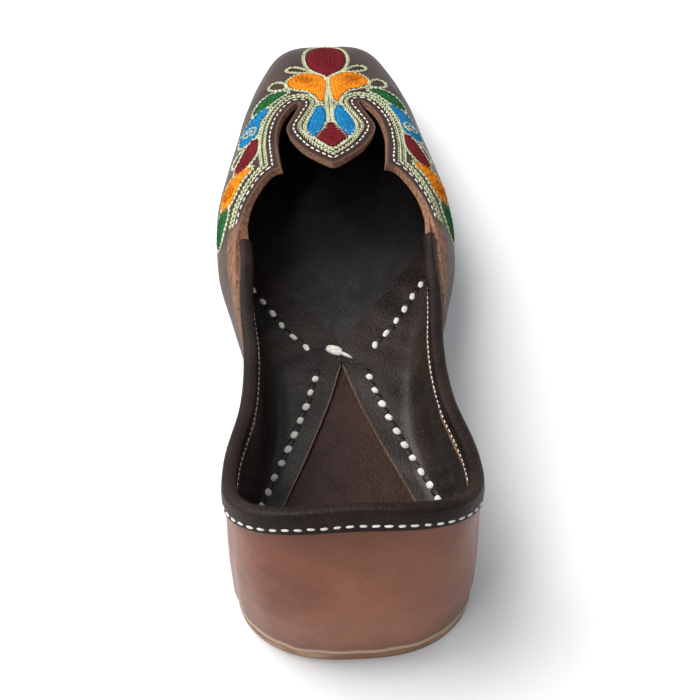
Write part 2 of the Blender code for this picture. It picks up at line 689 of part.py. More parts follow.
def make_lining(name, side):
    """One half of the lining: up the inner wall to the binding, and in over the insole as a flap."""
    turns = stations(turn_at(LINING_FRONT), BACK - SEAM_TURN)
    ray = rays(turns)
    floor = SOLE_STACK + INSOLE_WALL + SEAM_GAP
    floor_z = lift(ray.y) + floor
    depth = -(UPPER_WALL + LINING_GAP)
    top = rim_up(turns) - BINDING_INSIDE - SEAM_GAP
    knee = up_at_height(turns, floor_z + FLOOR_RADIUS)
    share = np.linspace(0, 1, LINING_STEPS)[None, :]
    wall = place(turns[:, None], top[:, None] + (knee - top)[:, None] * share, depth)
    corner = place(turns, up_at_height(turns, floor_z), depth)
    outward = np.column_stack([ray.dx, ray.dy, np.zeros(len(turns))])
    bend_end = corner - outward * FLOOR_RADIUS
    t = np.linspace(0, 1, BEND_STEPS)[None, 1:, None]
    bend = (1 - t) ** 2 * wall[:, -1:] + 2 * t * (1 - t) * corner[:, None] + t**2 * bend_end[:, None]
    corner_out = corner[:, 0] * ray.dx + (corner[:, 1] - ray.root) * ray.dy
    bend_out = corner_out - FLOOR_RADIUS
    edge = flap_edge(turns, corner_out)
    share = np.linspace(0, 1, FLAP_STEPS)[None, 1:]
    flap = along_rays(turns, bend_out[:, None] + (edge - bend_out)[:, None] * share, floor)
    outer = np.concatenate([wall, bend, flap], axis=1)
    inner = outer - grid_normals(outer) * LINING_WALL
    for grid in (outer, inner):
        grid[..., 0] = side * np.maximum(grid[..., 0], SEAM_GAP / 2)
    points, faces = slab(outer, inner, ["start", "end", "first", "last"])
    if side < 0:
        faces = [face[::-1] for face in faces]
    make_object(name, points, faces, LINING_COLOUR)


def grid_normals(grid):
    """Unit normals of a grid of points, to the side on which rows and columns turn left."""
    rows = np.gradient(grid, axis=0)
    columns = np.gradient(grid, axis=1)
    normal = np.cross(rows, columns)
    return normal / np.linalg.norm(normal, axis=2)[..., None]


def make_binding():
    """The strip folded over the rim, with a wide outer leg at the heel and a narrow one above the wing."""
    turns = stations(turn_at(BINDING_FRONT), BACK)
    rim = rim_up(turns)[:, None]
    leg = outside_leg(turns)
    near, far = BINDING_GAP, -UPPER_WALL - BINDING_GAP
    wide, deep = near + BINDING_WALL, far - BINDING_WALL
    middle = (near + far) / 2
    low, top = SEAM_GAP, SEAM_GAP + BINDING_WALL
    shoulder = top * BINDING_SHOULDER
    under_out = np.array([near, near, near, middle, far, far, far])
    over_out = np.array([wide, wide, (near + wide) / 2, middle, (far + deep) / 2, deep, deep])
    under_up = np.array([0, 0, low, low, low, 0, -BINDING_INSIDE]) + np.zeros((len(turns), 1))
    over_up = np.array([0, 0, shoulder, top, shoulder, 0, -BINDING_INSIDE]) + np.zeros((len(turns), 1))
    under_up[:, 0] = -leg
    over_up[:, 0] = -leg
    under = place(turns[:, None], rim + under_up, under_out)
    over = place(turns[:, None], rim + over_up, over_out)
    points, faces = slab(under, over, ["start", "first", "last"])
    make_object("collar_binding", points, faces, BINDING_COLOUR, mirrored=True)


for thing in list(bpy.data.objects):
    bpy.data.objects.remove(thing)
make_soles()
make_upper()
make_lining("lining_right", 1)
make_lining("lining_left", -1)
make_binding()
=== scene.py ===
"""Mojari shoe, seen as a finished product: aged leather, chain stitch embroidery and white running stitches.

The surface of the shoe comes from the same family of upright sections as its solids, worked out more finely.
Embroidery, stitches and edges are charted on the flat pattern, where each section is laid out flat, and are
then set on the surface. Sizes are in metres, with the floor at z = 0 and the toe towards +Y.
"""

import json
from collections import namedtuple

import bpy
import numpy as np
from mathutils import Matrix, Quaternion, Vector
from mathutils.geometry import delaunay_2d_cdt

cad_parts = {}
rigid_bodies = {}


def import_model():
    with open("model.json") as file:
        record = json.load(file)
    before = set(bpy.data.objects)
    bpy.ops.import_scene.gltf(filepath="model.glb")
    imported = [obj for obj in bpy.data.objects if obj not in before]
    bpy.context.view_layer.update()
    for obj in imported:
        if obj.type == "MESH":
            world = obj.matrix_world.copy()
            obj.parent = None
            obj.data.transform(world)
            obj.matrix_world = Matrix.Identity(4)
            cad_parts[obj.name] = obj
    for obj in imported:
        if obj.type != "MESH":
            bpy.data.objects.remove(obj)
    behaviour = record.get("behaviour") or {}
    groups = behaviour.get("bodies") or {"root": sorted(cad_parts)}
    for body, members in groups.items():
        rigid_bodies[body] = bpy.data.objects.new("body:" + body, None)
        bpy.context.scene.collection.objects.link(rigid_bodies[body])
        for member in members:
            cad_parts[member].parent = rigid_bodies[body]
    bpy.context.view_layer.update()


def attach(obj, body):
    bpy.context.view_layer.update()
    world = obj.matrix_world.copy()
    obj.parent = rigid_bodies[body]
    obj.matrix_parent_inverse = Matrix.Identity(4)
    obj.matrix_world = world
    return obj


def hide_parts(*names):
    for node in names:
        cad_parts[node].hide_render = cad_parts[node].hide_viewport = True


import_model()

mm = 0.001

# Sizes of the whole shoe. Y runs from the heel to the toe, and the floor is at z = 0.
shoeLength = 288 * mm
ballWidth = 88 * mm
instepHeight = 54.5 * mm
heelHeight = 62 * mm

# The rays fan out from these two points of the centre line.
toeFan = 58 * mm
heelFan = 40 * mm

# Walls and the gaps between them
upperWall = 2.0 * mm
vampWall = 2.4 * mm
liningWall = 1.0 * mm
bindingWall = 0.9 * mm
insoleWall = 1.8 * mm
midsoleWall = 1.0 * mm
outsoleWall = 4.0 * mm
seamGap = 0.3 * mm
bindingGap = 0.35 * mm
liningGap = 0.4 * mm

# Sole
archLift = 1.5 * mm
toeSpring = 4.5 * mm
soleInset = 0.9 * mm
midsoleInset = 0.6 * mm

# Collar
bindingOutside = 6.5 * mm
bindingAtWing = 1.6 * mm
bindingInside = 5.5 * mm
collarFront = 150 * mm
bindingFront = 142 * mm
rimOverWing = 2.6 * mm

# Lining
liningFront = 168 * mm
floorRadius = 5 * mm
knotBack = 112 * mm
knotFront = 123 * mm
heelFlange = 6 * mm

# One row for each section of the last: its place as a share of shoeLength, the half width at its widest and
# the tuck of the wall under it as shares of half ballWidth, the ridge and the widest point's height as shares
# of instepHeight.
LastRow = namedtuple("LastRow", "along halfWidth tuck ridge girth")
lastRows = (
    LastRow(along=0.000, halfWidth=0.895, tuck=0.000, ridge=1.30, girth=0.37),
    LastRow(along=0.070, halfWidth=0.890, tuck=0.000, ridge=1.27, girth=0.38),
    LastRow(along=0.139, halfWidth=0.855, tuck=0.045, ridge=1.23, girth=0.40),
    LastRow(along=0.229, halfWidth=0.735, tuck=0.110, ridge=1.17, girth=0.40),
    LastRow(along=0.337, halfWidth=0.700, tuck=0.145, ridge=1.10, girth=0.385),
    LastRow(along=0.434, halfWidth=0.810, tuck=0.135, ridge=1.06, girth=0.37),
    LastRow(along=0.521, halfWidth=0.955, tuck=0.125, ridge=1.03, girth=0.365),
    LastRow(along=0.590, halfWidth=0.998, tuck=0.115, ridge=1.00, girth=0.365),
    LastRow(along=0.677, halfWidth=0.940, tuck=0.105, ridge=0.92, girth=0.345),
    LastRow(along=0.747, halfWidth=0.855, tuck=0.100, ridge=0.838, girth=0.32),
    LastRow(along=0.833, halfWidth=0.740, tuck=0.095, ridge=0.725, girth=0.30),
    LastRow(along=0.920, halfWidth=0.630, tuck=0.090, ridge=0.615, girth=0.275),
    LastRow(along=1.000, halfWidth=0.570, tuck=0.085, ridge=0.530, girth=0.265),
)

# The topline: height as a share of heelHeight, and how far the rim stands outside the widest point as a
# share of half ballWidth.
RimRow = namedtuple("RimRow", "along height flare")
rimRows = (
    RimRow(along=0.000, height=1.000, flare=-0.273),
    RimRow(along=0.007, height=0.995, flare=-0.240),
    RimRow(along=0.038, height=0.960, flare=-0.110),
    RimRow(along=0.070, height=0.895, flare=-0.050),
    RimRow(along=0.125, height=0.815, flare=-0.030),
    RimRow(along=0.170, height=0.768, flare=-0.015),
    RimRow(along=0.229, height=0.725, flare=-0.005),
    RimRow(along=0.337, height=0.682, flare=0.020),
    RimRow(along=0.434, height=0.690, flare=-0.010),
    RimRow(along=0.521, height=0.712, flare=-0.114),
)

# The throat's edge on the flat pattern, from the collar to the tip of the ear and from there to the tip of
# the tongue: along from the heel as a share of shoeLength, across from the centre line as a share of half
# ballWidth.
ThroatRow = namedtuple("ThroatRow", "along across")
earRows = (
    ThroatRow(along=0.545, across=0.76),
    ThroatRow(along=0.566, across=0.67),
    ThroatRow(along=0.585, across=0.565),
    ThroatRow(along=0.591, across=0.500),
    ThroatRow(along=0.590, across=0.432),
)
tongueRows = (
    ThroatRow(along=0.604, across=0.445),
    ThroatRow(along=0.634, across=0.462),
    ThroatRow(along=0.663, across=0.474),
    ThroatRow(along=0.693, across=0.462),
    ThroatRow(along=0.718, across=0.428),
    ThroatRow(along=0.740, across=0.367),
    ThroatRow(along=0.754, across=0.307),
    ThroatRow(along=0.757, across=0.272),
    ThroatRow(along=0.748, across=0.262),
    ThroatRow(along=0.723, across=0.312),
    ThroatRow(along=0.697, across=0.370),
    ThroatRow(along=0.680, across=0.378),
    ThroatRow(along=0.658, across=0.340),
    ThroatRow(along=0.626, across=0.248),
    ThroatRow(along=0.602, across=0.124),
    ThroatRow(along=0.588, across=0.025),
    ThroatRow(along=0.587, across=0.000),
)

# Where the sole lies on the floor, as shares of shoeLength.
heelFlatEnd = 0.21
ballFlatStart = 0.53
ballFlatEnd = 0.74

# Powers of the curves that close the toe, the heel and each section
toeSquare = 0.54
heelSquare = 0.77
tuckPower = 2.2
flarePower = 1.5
springPower = 1.8
sideRound = 2.3
crownRound = 2.1
toeSideRound = 3.6
toeCrownRound = 3.0
squaringStart = 190 * mm
squaringLength = 60 * mm

# The wall of the quarter turns into the arch of the vamp between these two places.
archStart = 100 * mm
archFull = 150 * mm

# The wing lies over the quarter, thins towards its tail and comes down to the sole at its foot.
wingTail = 106 * mm
wingFoot = 88 * mm
wingTailWall = 1.4 * mm
vampRises = 128 * mm
vampSettled = 168 * mm
bindingNarrows = 66 * mm

# How finely the shapes are cut
sectionSteps = 140
probe = 0.3 * mm
snap = 0.001 * mm
normalStep = 0.5 * mm
pointsAtOnce = 2000
latticeRow = 0.866
fanTurns = 400
farFromEdge = 20 * mm
turnsLevel = 8 * mm

toeTip, sideStart, heelStart, backSeam = 0.0, 1.0, 2.0, 3.0
sideLength = shoeLength - toeFan - heelFan
middle = (shoeLength + vampWall - upperWall) / 2
sharpAngle = np.radians(40)
soleStack = outsoleWall + midsoleWall + 2 * seamGap
fanRoom = 40 * mm

# The lining's flap behind the knot: how far its raw edge lies from the centre line on the floor of the
# shoe, as a share of half ballWidth.
FlapRow = namedtuple("FlapRow", "along across")
flapRows = (
    FlapRow(along=0.10, across=0.660),
    FlapRow(along=0.125, across=0.610),
    FlapRow(along=0.18, across=0.490),
    FlapRow(along=0.267, across=0.264),
    FlapRow(along=0.337, across=0.100),
    FlapRow(along=0.389, across=0.004),
)
flapAtFront = 31 * mm
seamTurn = 0.004
wingRound = 3.0
tailSteps = 13


def follow(rows, name, along):
    """A cubic curve through one column of a table."""
    at = np.array([row.along for row in rows])
    value = np.array([getattr(row, name) for row in rows])
    slope = np.gradient(value, at)
    row = np.clip(np.searchsorted(at, along) - 1, 0, len(at) - 2)
    step = at[row + 1] - at[row]
    t = np.clip((along - at[row]) / step, 0, 1)
    start = (2 * t**3 - 3 * t**2 + 1) * value[row] + (t**3 - 2 * t**2 + t) * step * slope[row]
    end = (3 * t**2 - 2 * t**3) * value[row + 1] + (t**3 - t**2) * step * slope[row + 1]
    return start + end


def ease(start, end, x):
    """0 before start, 1 after end, and a smooth step between them."""
    t = np.clip((x - start) / (end - start), 0, 1)
    return t * t * (3 - 2 * t)


def lift(y):
    """Height of the sole's underside over the floor."""
    along = y / shoeLength
    archTop = (heelFlatEnd + ballFlatStart) / 2
    arch = ease(heelFlatEnd, archTop, along) - ease(archTop, ballFlatStart, along)
    spring = np.clip((along - ballFlatEnd) / (1 - ballFlatEnd), 0, 1) ** springPower
    return archLift * arch + toeSpring * spring


def turnAt(y):
    """The turn of the square ray that crosses the shoe at y."""
    return sideStart + (shoeLength - toeFan - y) / sideLength


Ray = namedtuple("Ray", "root dx dy reach y")


def rays(turn):
    """The ray for each turn: where it starts, which way it runs and how far out the last is widest."""
    toe = np.clip(turn, toeTip, sideStart) * np.pi / 2
    heel = np.clip(turn - heelStart, 0, 1) * np.pi / 2
    inToe = turn < sideStart
    inHeel = turn > heelStart
    y = np.clip(shoeLength - toeFan - (turn - sideStart) * sideLength, heelFan, shoeLength - toeFan)
    root = y
    y = np.where(inToe, y + toeFan * np.cos(toe) ** toeSquare, y)
    y = np.where(inHeel, y - heelFan * np.sin(heel) ** heelSquare, y)
    narrowing = np.where(inToe, np.sin(toe) ** toeSquare, np.cos(heel) ** heelSquare)
    x = follow(lastRows, "halfWidth", y / shoeLength) * ballWidth / 2 * narrowing
    reach = np.hypot(x, y - root)
    return Ray(root, x / reach, (y - root) / reach, reach, y)


def sections(turn):
    """Each ray's section from the feather edge up to the ridge: distances out, heights, widest height.

    Under the widest point the wall tucks in by a power of the drop. Over it the vamp follows a flattened
    ellipse, and the quarter a wall that leans by its flare, with a smooth step from one to the other.
    """
    ray = rays(turn)
    along = ray.y / shoeLength
    feather = (lift(ray.y) + soleStack)[:, None]
    widest = (follow(lastRows, "girth", along) * instepHeight)[:, None]
    tuck = (follow(lastRows, "tuck", along) * ballWidth / 2)[:, None]
    flare = (follow(rimRows, "flare", along) * ballWidth / 2)[:, None]
    rim = (follow(rimRows, "height", along) * heelHeight)[:, None]
    reach = ray.reach[:, None]
    drop = np.linspace(1, 0, sectionSteps // 3)[None, :]
    lowOut = reach - tuck * drop**tuckPower
    lowZ = widest - (widest - feather) * drop
    square = ease(squaringStart, squaringStart + squaringLength, ray.y)[:, None]
    lowPower = sideRound + (toeSideRound - sideRound) * square
    highPower = crownRound + (toeCrownRound - crownRound) * square
    angle = np.linspace(0, np.pi / 2, sectionSteps)[None, 1:]
    archOut = reach * np.clip(np.cos(angle), 0, 1) ** (2 / lowPower)
    archAlong = (ray.root[:, None] + ray.dy[:, None] * archOut) / shoeLength
    ridge = follow(lastRows, "ridge", archAlong) * instepHeight
    highZ = widest + (ridge - widest) * np.sin(angle) ** (2 / highPower)
    wallOut = reach + flare * np.clip((highZ - widest) / (rim - widest), 0, 1.2) ** flarePower
    arched = ease(archStart, archFull, ray.y)[:, None]
    highOut = wallOut + (archOut - wallOut) * arched
    return ray, np.hstack([lowOut, highOut]), np.hstack([lowZ, highZ]), widest[:, 0]


def girths(out, z):
    """Length along each section from the feather edge to each of its points."""
    steps = np.hypot(np.diff(out, axis=1), np.diff(z, axis=1))
    return np.hstack([np.zeros((len(out), 1)), np.cumsum(steps, axis=1)])


def pick(table, at, value):
    """For each row, the value where the table reaches at."""
    row = np.arange(len(at))
    last = np.clip((table < at[:, None]).sum(axis=1), 1, table.shape[1] - 1)
    t = (at - table[row, last - 1]) / (table[row, last] - table[row, last - 1])
    return value[row, last - 1] + np.clip(t, 0, 1) * (value[row, last] - value[row, last - 1])


def upAtHeight(turn, height):
    """Length along each section from the feather edge up to a height."""
    _, out, z, _ = sections(turn)
    return pick(z, height, girths(out, z))


def rimUp(turn):
    """Length along each section from the feather edge to the rim."""
    return upAtHeight(turn, follow(rimRows, "height", rays(turn).y / shoeLength) * heelHeight)


def onLast(turn, up):
    """The point of the last at each turn and length up its section, with the height where it is widest."""
    ray, out, z, widest = sections(turn)
    length = girths(out, z)
    distance = pick(length, up, out)
    height = pick(length, up, z)
    point = np.column_stack([ray.dx * distance, ray.root + ray.dy * distance, height])
    return point, ray, widest


def room(y):
    """How far the flat pattern is opened out from the centre line behind the vamp."""
    return fanRoom * (1 - ease(heelFan, archFull, y))


def radiusOnPattern(turn):
    """Length of each ray on the flat pattern, from its root to the feather edge."""
    ray, out, z, _ = sections(turn)
    return room(ray.y) + girths(out, z)[:, -1]


def toPattern(turn, up):
    """The flat pattern: each section laid out flat along its own ray."""
    ray = rays(turn)
    radius = radiusOnPattern(turn) - up
    across = ray.dx * radius
    return np.column_stack([np.where(across < snap, 0, across), ray.root + ray.dy * radius])


def fromPattern(flat):
    """The turn and the length up the section for each point of the flat pattern."""
    across, along = np.abs(flat[:, 0]), flat[:, 1]
    toeStart = shoeLength - toeFan
    toeTurns = np.linspace(toeTip, sideStart, fanTurns)
    heelTurns = np.linspace(heelStart, backSeam, fanTurns)
    toeRays, heelRays = rays(toeTurns), rays(heelTurns)
    toe = np.interp(np.arctan2(across, along - toeStart), np.arctan2(toeRays.dx, toeRays.dy), toeTurns)
    heel = np.interp(np.arctan2(across, along - heelFan), np.arctan2(heelRays.dx, heelRays.dy), heelTurns)
    turn = np.select([along > toeStart, along < heelFan], [toe, heel], turnAt(along))
    radius = np.hypot(across, along - rays(turn).root)
    return turn, np.clip(radiusOnPattern(turn) - radius, 0, None)


def surface(flat):
    """Points of the last for points of the flat pattern, on both sides of the centre line."""
    point = onLast(*fromPattern(flat))[0]
    point[:, 0] = np.where(flat[:, 0] < 0, -point[:, 0], point[:, 0])
    return point


def placeFlat(flat, offset):
    """Points of the flat pattern set on the last and moved out by offset, squarely or, low down, level."""
    right = np.column_stack([np.abs(flat[:, 0]), flat[:, 1]])
    point, ray, widest = onLast(*fromPattern(right))
    across = surface(right + [probe, 0]) - surface(right - [probe, 0])
    along = surface(right + [0, probe]) - surface(right - [0, probe])
    normal = np.cross(across, along)
    normal /= np.linalg.norm(normal, axis=1)[:, None]
    level = np.column_stack([ray.dx, ray.dy, np.zeros(len(point))])
    normal = level + (normal - level) * ease(0, turnsLevel, point[:, 2] - widest)[:, None]
    normal /= np.linalg.norm(normal, axis=1)[:, None]
    point += normal * np.asarray(offset)[:, None]
    point[:, 0] = np.where(np.abs(point[:, 0]) < snap, 0, point[:, 0]) * np.where(flat[:, 0] < 0, -1, 1)
    return point


def smoothLine(points, step):
    """A Catmull-Rom curve through the points, with a point about every step."""
    before = 2 * points[0] - points[1]
    after = 2 * points[-1] - points[-2]
    knots = np.vstack([before, points, after])
    line = [points[:1]]
    for a, b, c, d in zip(knots, knots[1:], knots[2:], knots[3:]):
        count = max(1, int(round(np.linalg.norm(c - b) / step)))
        t = (np.arange(1, count + 1) / count)[:, None]
        curve = (2 * a - 5 * b + 4 * c - d) * t**2 + (3 * b - a - 3 * c + d) * t**3
        line.append(b + ((c - a) * t + curve) / 2)
    return np.vstack(line)


def inside(outline, points):
    """Whether each point lies inside a closed flat outline, so that a level line from it crosses it an odd
    number of times.
    """
    x0, y0 = outline[:, 0], outline[:, 1]
    x1, y1 = np.roll(x0, -1), np.roll(y0, -1)
    answers = []
    for part in np.array_split(points, len(points) // pointsAtOnce + 1):
        x, y = part[:, 0:1], part[:, 1:2]
        rises = (y0 > y) != (y1 > y)
        with np.errstate(divide="ignore", invalid="ignore"):
            crossing = x0 + (y - y0) / (y1 - y0) * (x1 - x0)
        answers.append(((rises & (x < crossing)).sum(axis=1) % 2).astype(bool))
    return np.concatenate(answers)


def distanceTo(lines, points):
    """Distance from each point to the nearest point of the lines."""
    parts = np.array_split(points, len(points) // pointsAtOnce + 1)
    return np.concatenate([
        np.sqrt(((part[:, None, :] - lines[None, :, :]) ** 2).sum(axis=2).min(axis=1)) for part in parts
    ])


def turnsByStep(start, end, step):
    """Turns from start to end whose places on the widest line are about a step apart."""
    fine = np.linspace(start, end, 600)
    ray = rays(fine)
    x, y = ray.dx * ray.reach, ray.root + ray.dy * ray.reach
    length = np.concatenate([[0], np.cumsum(np.hypot(np.diff(x), np.diff(y)))])
    count = max(2, int(round(length[-1] / step)) + 1)
    return np.interp(np.linspace(0, length[-1], count), length, fine)


def outsideLeg(turns):
    """How far the binding comes down outside the rim."""
    narrow = ease(bindingNarrows, wingFoot, rays(turns).y)
    return bindingOutside + (bindingAtWing - bindingOutside) * narrow


def featherLine(turns):
    """The feather edge on the flat pattern."""
    return toPattern(turns, np.zeros(len(turns)))


def wingLine():
    """The wing's edge on the flat pattern, from the sole up its tail and forward under the rim."""
    footTurn = turnAt(wingFoot)
    rise = np.linspace(0, 1, tailSteps)
    y = wingFoot + (wingTail - wingFoot) * (1 - (1 - rise**wingRound) ** (1 / wingRound))
    turns = turnAt(y)
    tail = toPattern(turns, rise * (rimUp(turns) - rimOverWing))
    y = np.linspace(wingTail, collarFront, tailSteps)[1:]
    turns = turnAt(y)
    underRim = rimOverWing * (1 - ease(bindingFront, collarFront, y))
    return footTurn, np.vstack([tail, toPattern(turns, rimUp(turns) - underRim)])


def wingOffset(flat):
    """How far the vamp's outer face stands outside the quarter's."""
    y = flat[:, 1]
    tail = wingTailWall + (vampWall - wingTailWall) * ease(wingFoot, vampRises, y)
    return tail - upperWall * ease(vampRises, vampSettled, y)


# The surface, worked out once on a grid of turns and shares of the way from the feather edge to the ridge

SkinTable = namedtuple("SkinTable", "turns point normal radius girth")


def workOutSkin(turnCount=620, shareCount=110):
    """Points and normals of the last on a grid, with each section's radius and girth on the flat pattern."""
    turns = np.concatenate([
        np.linspace(toeTip, sideStart, turnCount // 3),
        np.linspace(sideStart, heelStart, turnCount // 2)[1:],
        np.linspace(heelStart, backSeam, turnCount // 4)[1:],
    ])
    radius = radiusOnPattern(turns)
    girth = radius - room(rays(turns).y)
    share = np.linspace(0, 1, shareCount)
    gridTurn = np.repeat(turns, shareCount)
    gridUp = (girth[:, None] * share).ravel()
    points, normals = [], []
    for part in np.array_split(np.arange(len(gridTurn)), 12):
        flat = toPattern(gridTurn[part], gridUp[part])
        inner = placeFlat(flat, np.zeros(len(flat)))
        outer = placeFlat(flat, np.full(len(flat), mm))
        points.append(inner)
        normals.append((outer - inner) / mm)
    points, normals = (np.vstack(rows).reshape(len(turns), shareCount, 3) for rows in (points, normals))
    return SkinTable(turns, points, normals, radius, girth)


skin = workOutSkin()
print("surface worked out")


def fromFlat(flat):
    """The turn and the share of the girth for each point of the flat pattern."""
    turn = fromPattern(np.column_stack([np.abs(flat[:, 0]), flat[:, 1]]))[0]
    across = np.hypot(flat[:, 0], flat[:, 1] - rays(turn).root)
    radius = np.interp(turn, skin.turns, skin.radius)
    girth = np.interp(turn, skin.turns, skin.girth)
    return turn, np.clip((radius - across) / girth, 0, 1)


def blendTable(table, turn, share):
    """Values of a table between its grid points."""
    row = np.clip(np.searchsorted(skin.turns, turn) - 1, 0, len(skin.turns) - 2)
    t = ((turn - skin.turns[row]) / (skin.turns[row + 1] - skin.turns[row]))[:, None]
    column = share * (table.shape[1] - 1)
    left = np.clip(column.astype(int), 0, table.shape[1] - 2)
    s = (column - left)[:, None]
    low = table[row, left] * (1 - s) + table[row, left + 1] * s
    high = table[row + 1, left] * (1 - s) + table[row + 1, left + 1] * s
    return low * (1 - t) + high * t


def layTable(turn, share, offset, sign):
    """Points of the skin moved out by offset, in the frame of the solids."""
    normal = blendTable(skin.normal, turn, share)
    normal /= np.linalg.norm(normal, axis=1)[:, None]
    point = blendTable(skin.point, turn, share) + normal * np.asarray(offset)[:, None]
    point[:, 0] = np.where(np.abs(point[:, 0]) < snap, 0, point[:, 0]) * sign
    point[:, 1] -= middle
    return point


def layFlat(flat, offset):
    """Points of the flat pattern, on either side of the centre line, laid on the skin at an offset."""
    turn, share = fromFlat(flat)
    return layTable(turn, share, offset, np.where(flat[:, 0] < 0, -1, 1))


def layUp(turn, up, offset, sign=1):
    """Points given by turn and length up the section, laid on the skin at an offset, as a grid."""
    turn, up, offset = np.broadcast_arrays(turn, up, offset)
    girth = np.interp(turn, skin.turns, skin.girth)
    share = np.clip(up / girth, 0, 1)
    return layTable(turn.ravel(), share.ravel(), offset.ravel(), sign).reshape(turn.shape + (3,))


# Small unevenness of hand-worked leather and the creases of wear: each is a soft trough or ridge along a
# short line of the flat pattern, with its height and its half width in millimetres.
CreaseRow = namedtuple("CreaseRow", "x0 y0 x1 y1 height width")
creaseRows = (
    CreaseRow(x0=24, y0=222, x1=40, y1=204, height=-0.35, width=3.2),
    CreaseRow(x0=-22, y0=226, x1=-40, y1=212, height=-0.30, width=3.0),
    CreaseRow(x0=-9, y0=252, x1=12, y1=250, height=-0.22, width=4.5),
    CreaseRow(x0=28, y0=238, x1=44, y1=226, height=0.30, width=4.0),
    CreaseRow(x0=-27, y0=246, x1=-42, y1=232, height=0.28, width=4.0),
    CreaseRow(x0=60, y0=8, x1=92, y1=-12, height=-0.5, width=6.0),
    CreaseRow(x0=-58, y0=12, x1=-84, y1=-20, height=-0.45, width=6.0),
    CreaseRow(x0=20, y0=-40, x1=44, y1=-52, height=0.45, width=8.0),
    CreaseRow(x0=-36, y0=-30, x1=-10, y1=-44, height=0.4, width=8.0),
    CreaseRow(x0=-70, y0=70, x1=-84, y1=92, height=-0.4, width=5.0),
    CreaseRow(x0=70, y0=74, x1=84, y1=60, height=-0.4, width=5.0),
)


def unevenness(flat):
    """How far the worn surface stands off the smooth one: gentle waves and the charted creases."""
    x, y = flat[:, 0] / mm, flat[:, 1] / mm
    height = 0.10 * np.sin(x / 9.1 + 1.3 * np.sin(y / 17)) * np.sin(y / 11.3 + 0.7)
    height += 0.06 * np.sin(x / 4.7 + y / 7.9)
    for row in creaseRows:
        ax, ay = row.x1 - row.x0, row.y1 - row.y0
        t = np.clip(((x - row.x0) * ax + (y - row.y0) * ay) / (ax * ax + ay * ay), 0, 1)
        away = np.hypot(x - row.x0 - t * ax, y - row.y0 - t * ay)
        height += row.height * np.exp(-((away / row.width) ** 2))
    return height * mm


def vampOffset(flat):
    """How far the vamp's outer face stands off the skin, unevenness included."""
    right = np.column_stack([np.abs(flat[:, 0]), flat[:, 1]])
    return wingOffset(right) + unevenness(flat) * 0.6


# Making mesh objects


def makeMesh(name, points, faces, slots, slotOf=None, uv=None, values=None, body="root"):
    """A mesh object whose faces may be given material numbers, a flat map and named values per point."""
    mesh = bpy.data.meshes.new(name)
    mesh.from_pydata(np.asarray(points).tolist(), [], [list(map(int, face)) for face in faces])
    if slotOf is not None:
        mesh.polygons.foreach_set("material_index", np.asarray(slotOf, np.int32))
    if uv is not None:
        layer = mesh.uv_layers.new(name="pattern")
        corner = np.zeros(len(mesh.loops), np.int32)
        mesh.loops.foreach_get("vertex_index", corner)
        layer.data.foreach_set("uv", np.asarray(uv)[corner].ravel())
    for key, value in (values or {}).items():
        mesh.attributes.new(key, "FLOAT", "POINT").data.foreach_set("value", np.asarray(value, np.float32))
    mesh.polygons.foreach_set("use_smooth", np.full(len(mesh.polygons), True))
    for material in slots:
        mesh.materials.append(material)
    thing = bpy.data.objects.new(name, mesh)
    bpy.context.scene.collection.objects.link(thing)
    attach(thing, body)
    return thing


def gridFaces(rows, columns, closed=False):
    """Quads of a grid of points, joined round its columns where it is closed."""
    number = np.arange(rows * columns).reshape(rows, columns)
    if closed:
        number = np.hstack([number, number[:, :1]])
    return np.stack([number[:-1, :-1], number[1:, :-1], number[1:, 1:], number[:-1, 1:]], -1).reshape(-1, 4)


def bothSides(points, faces, slotOf=(), uv=None, values=None):
    """A right half and its mirror image as one set of arrays, with the points on the centre plane shared."""
    count = len(points)
    onPlane = np.abs(points[:, 0]) < snap
    partner = np.arange(count) + count
    partner[onPlane] = np.arange(count)[onPlane]
    used = np.concatenate([np.ones(count, bool), ~onPlane])
    number = np.cumsum(used) - 1
    allPoints = np.vstack([points, points * [-1, 1, 1]])[used]
    allUv = None if uv is None else np.vstack([uv, uv * [-1, 1]])[used]
    mirrored = [[partner[c] for c in face[::-1]] for face in faces]
    allFaces = [[number[c] for c in face] for face in list(faces) + mirrored]
    allValues = {key: np.concatenate([value, value])[used] for key, value in (values or {}).items()}
    return allPoints, allFaces, list(slotOf) * 2, allUv, allValues


# Shader nodes written as expressions


class Value:
    """A node socket that takes part in Python expressions."""

    def __init__(self, paint, socket):
        self.paint = paint
        self.socket = socket

    def join(self, operation, *others):
        """A maths node that takes this value first."""
        return self.paint.node("ShaderNodeMath", {"operation": operation}, [self, *others])

    def __add__(self, other):
        return self.join("ADD", other)

    def __sub__(self, other):
        return self.join("SUBTRACT", other)

    def __rsub__(self, other):
        return self.paint.node("ShaderNodeMath", {"operation": "SUBTRACT"}, [other, self])

    def __mul__(self, other):
        return self.join("MULTIPLY", other)

    __radd__ = __add__
    __rmul__ = __mul__

    def __truediv__(self, other):
        return self.join("DIVIDE", other)

    def power(self, other):
        return self.join("POWER", other)

    def step(self, low, high):
        """0 below low, 1 above high and a smooth step between them."""
        settings = {"interpolation_type": "SMOOTHSTEP"}
        inputs = {"Value": self, "From Min": low, "From Max": high}
        return self.paint.node("ShaderNodeMapRange", settings, inputs)


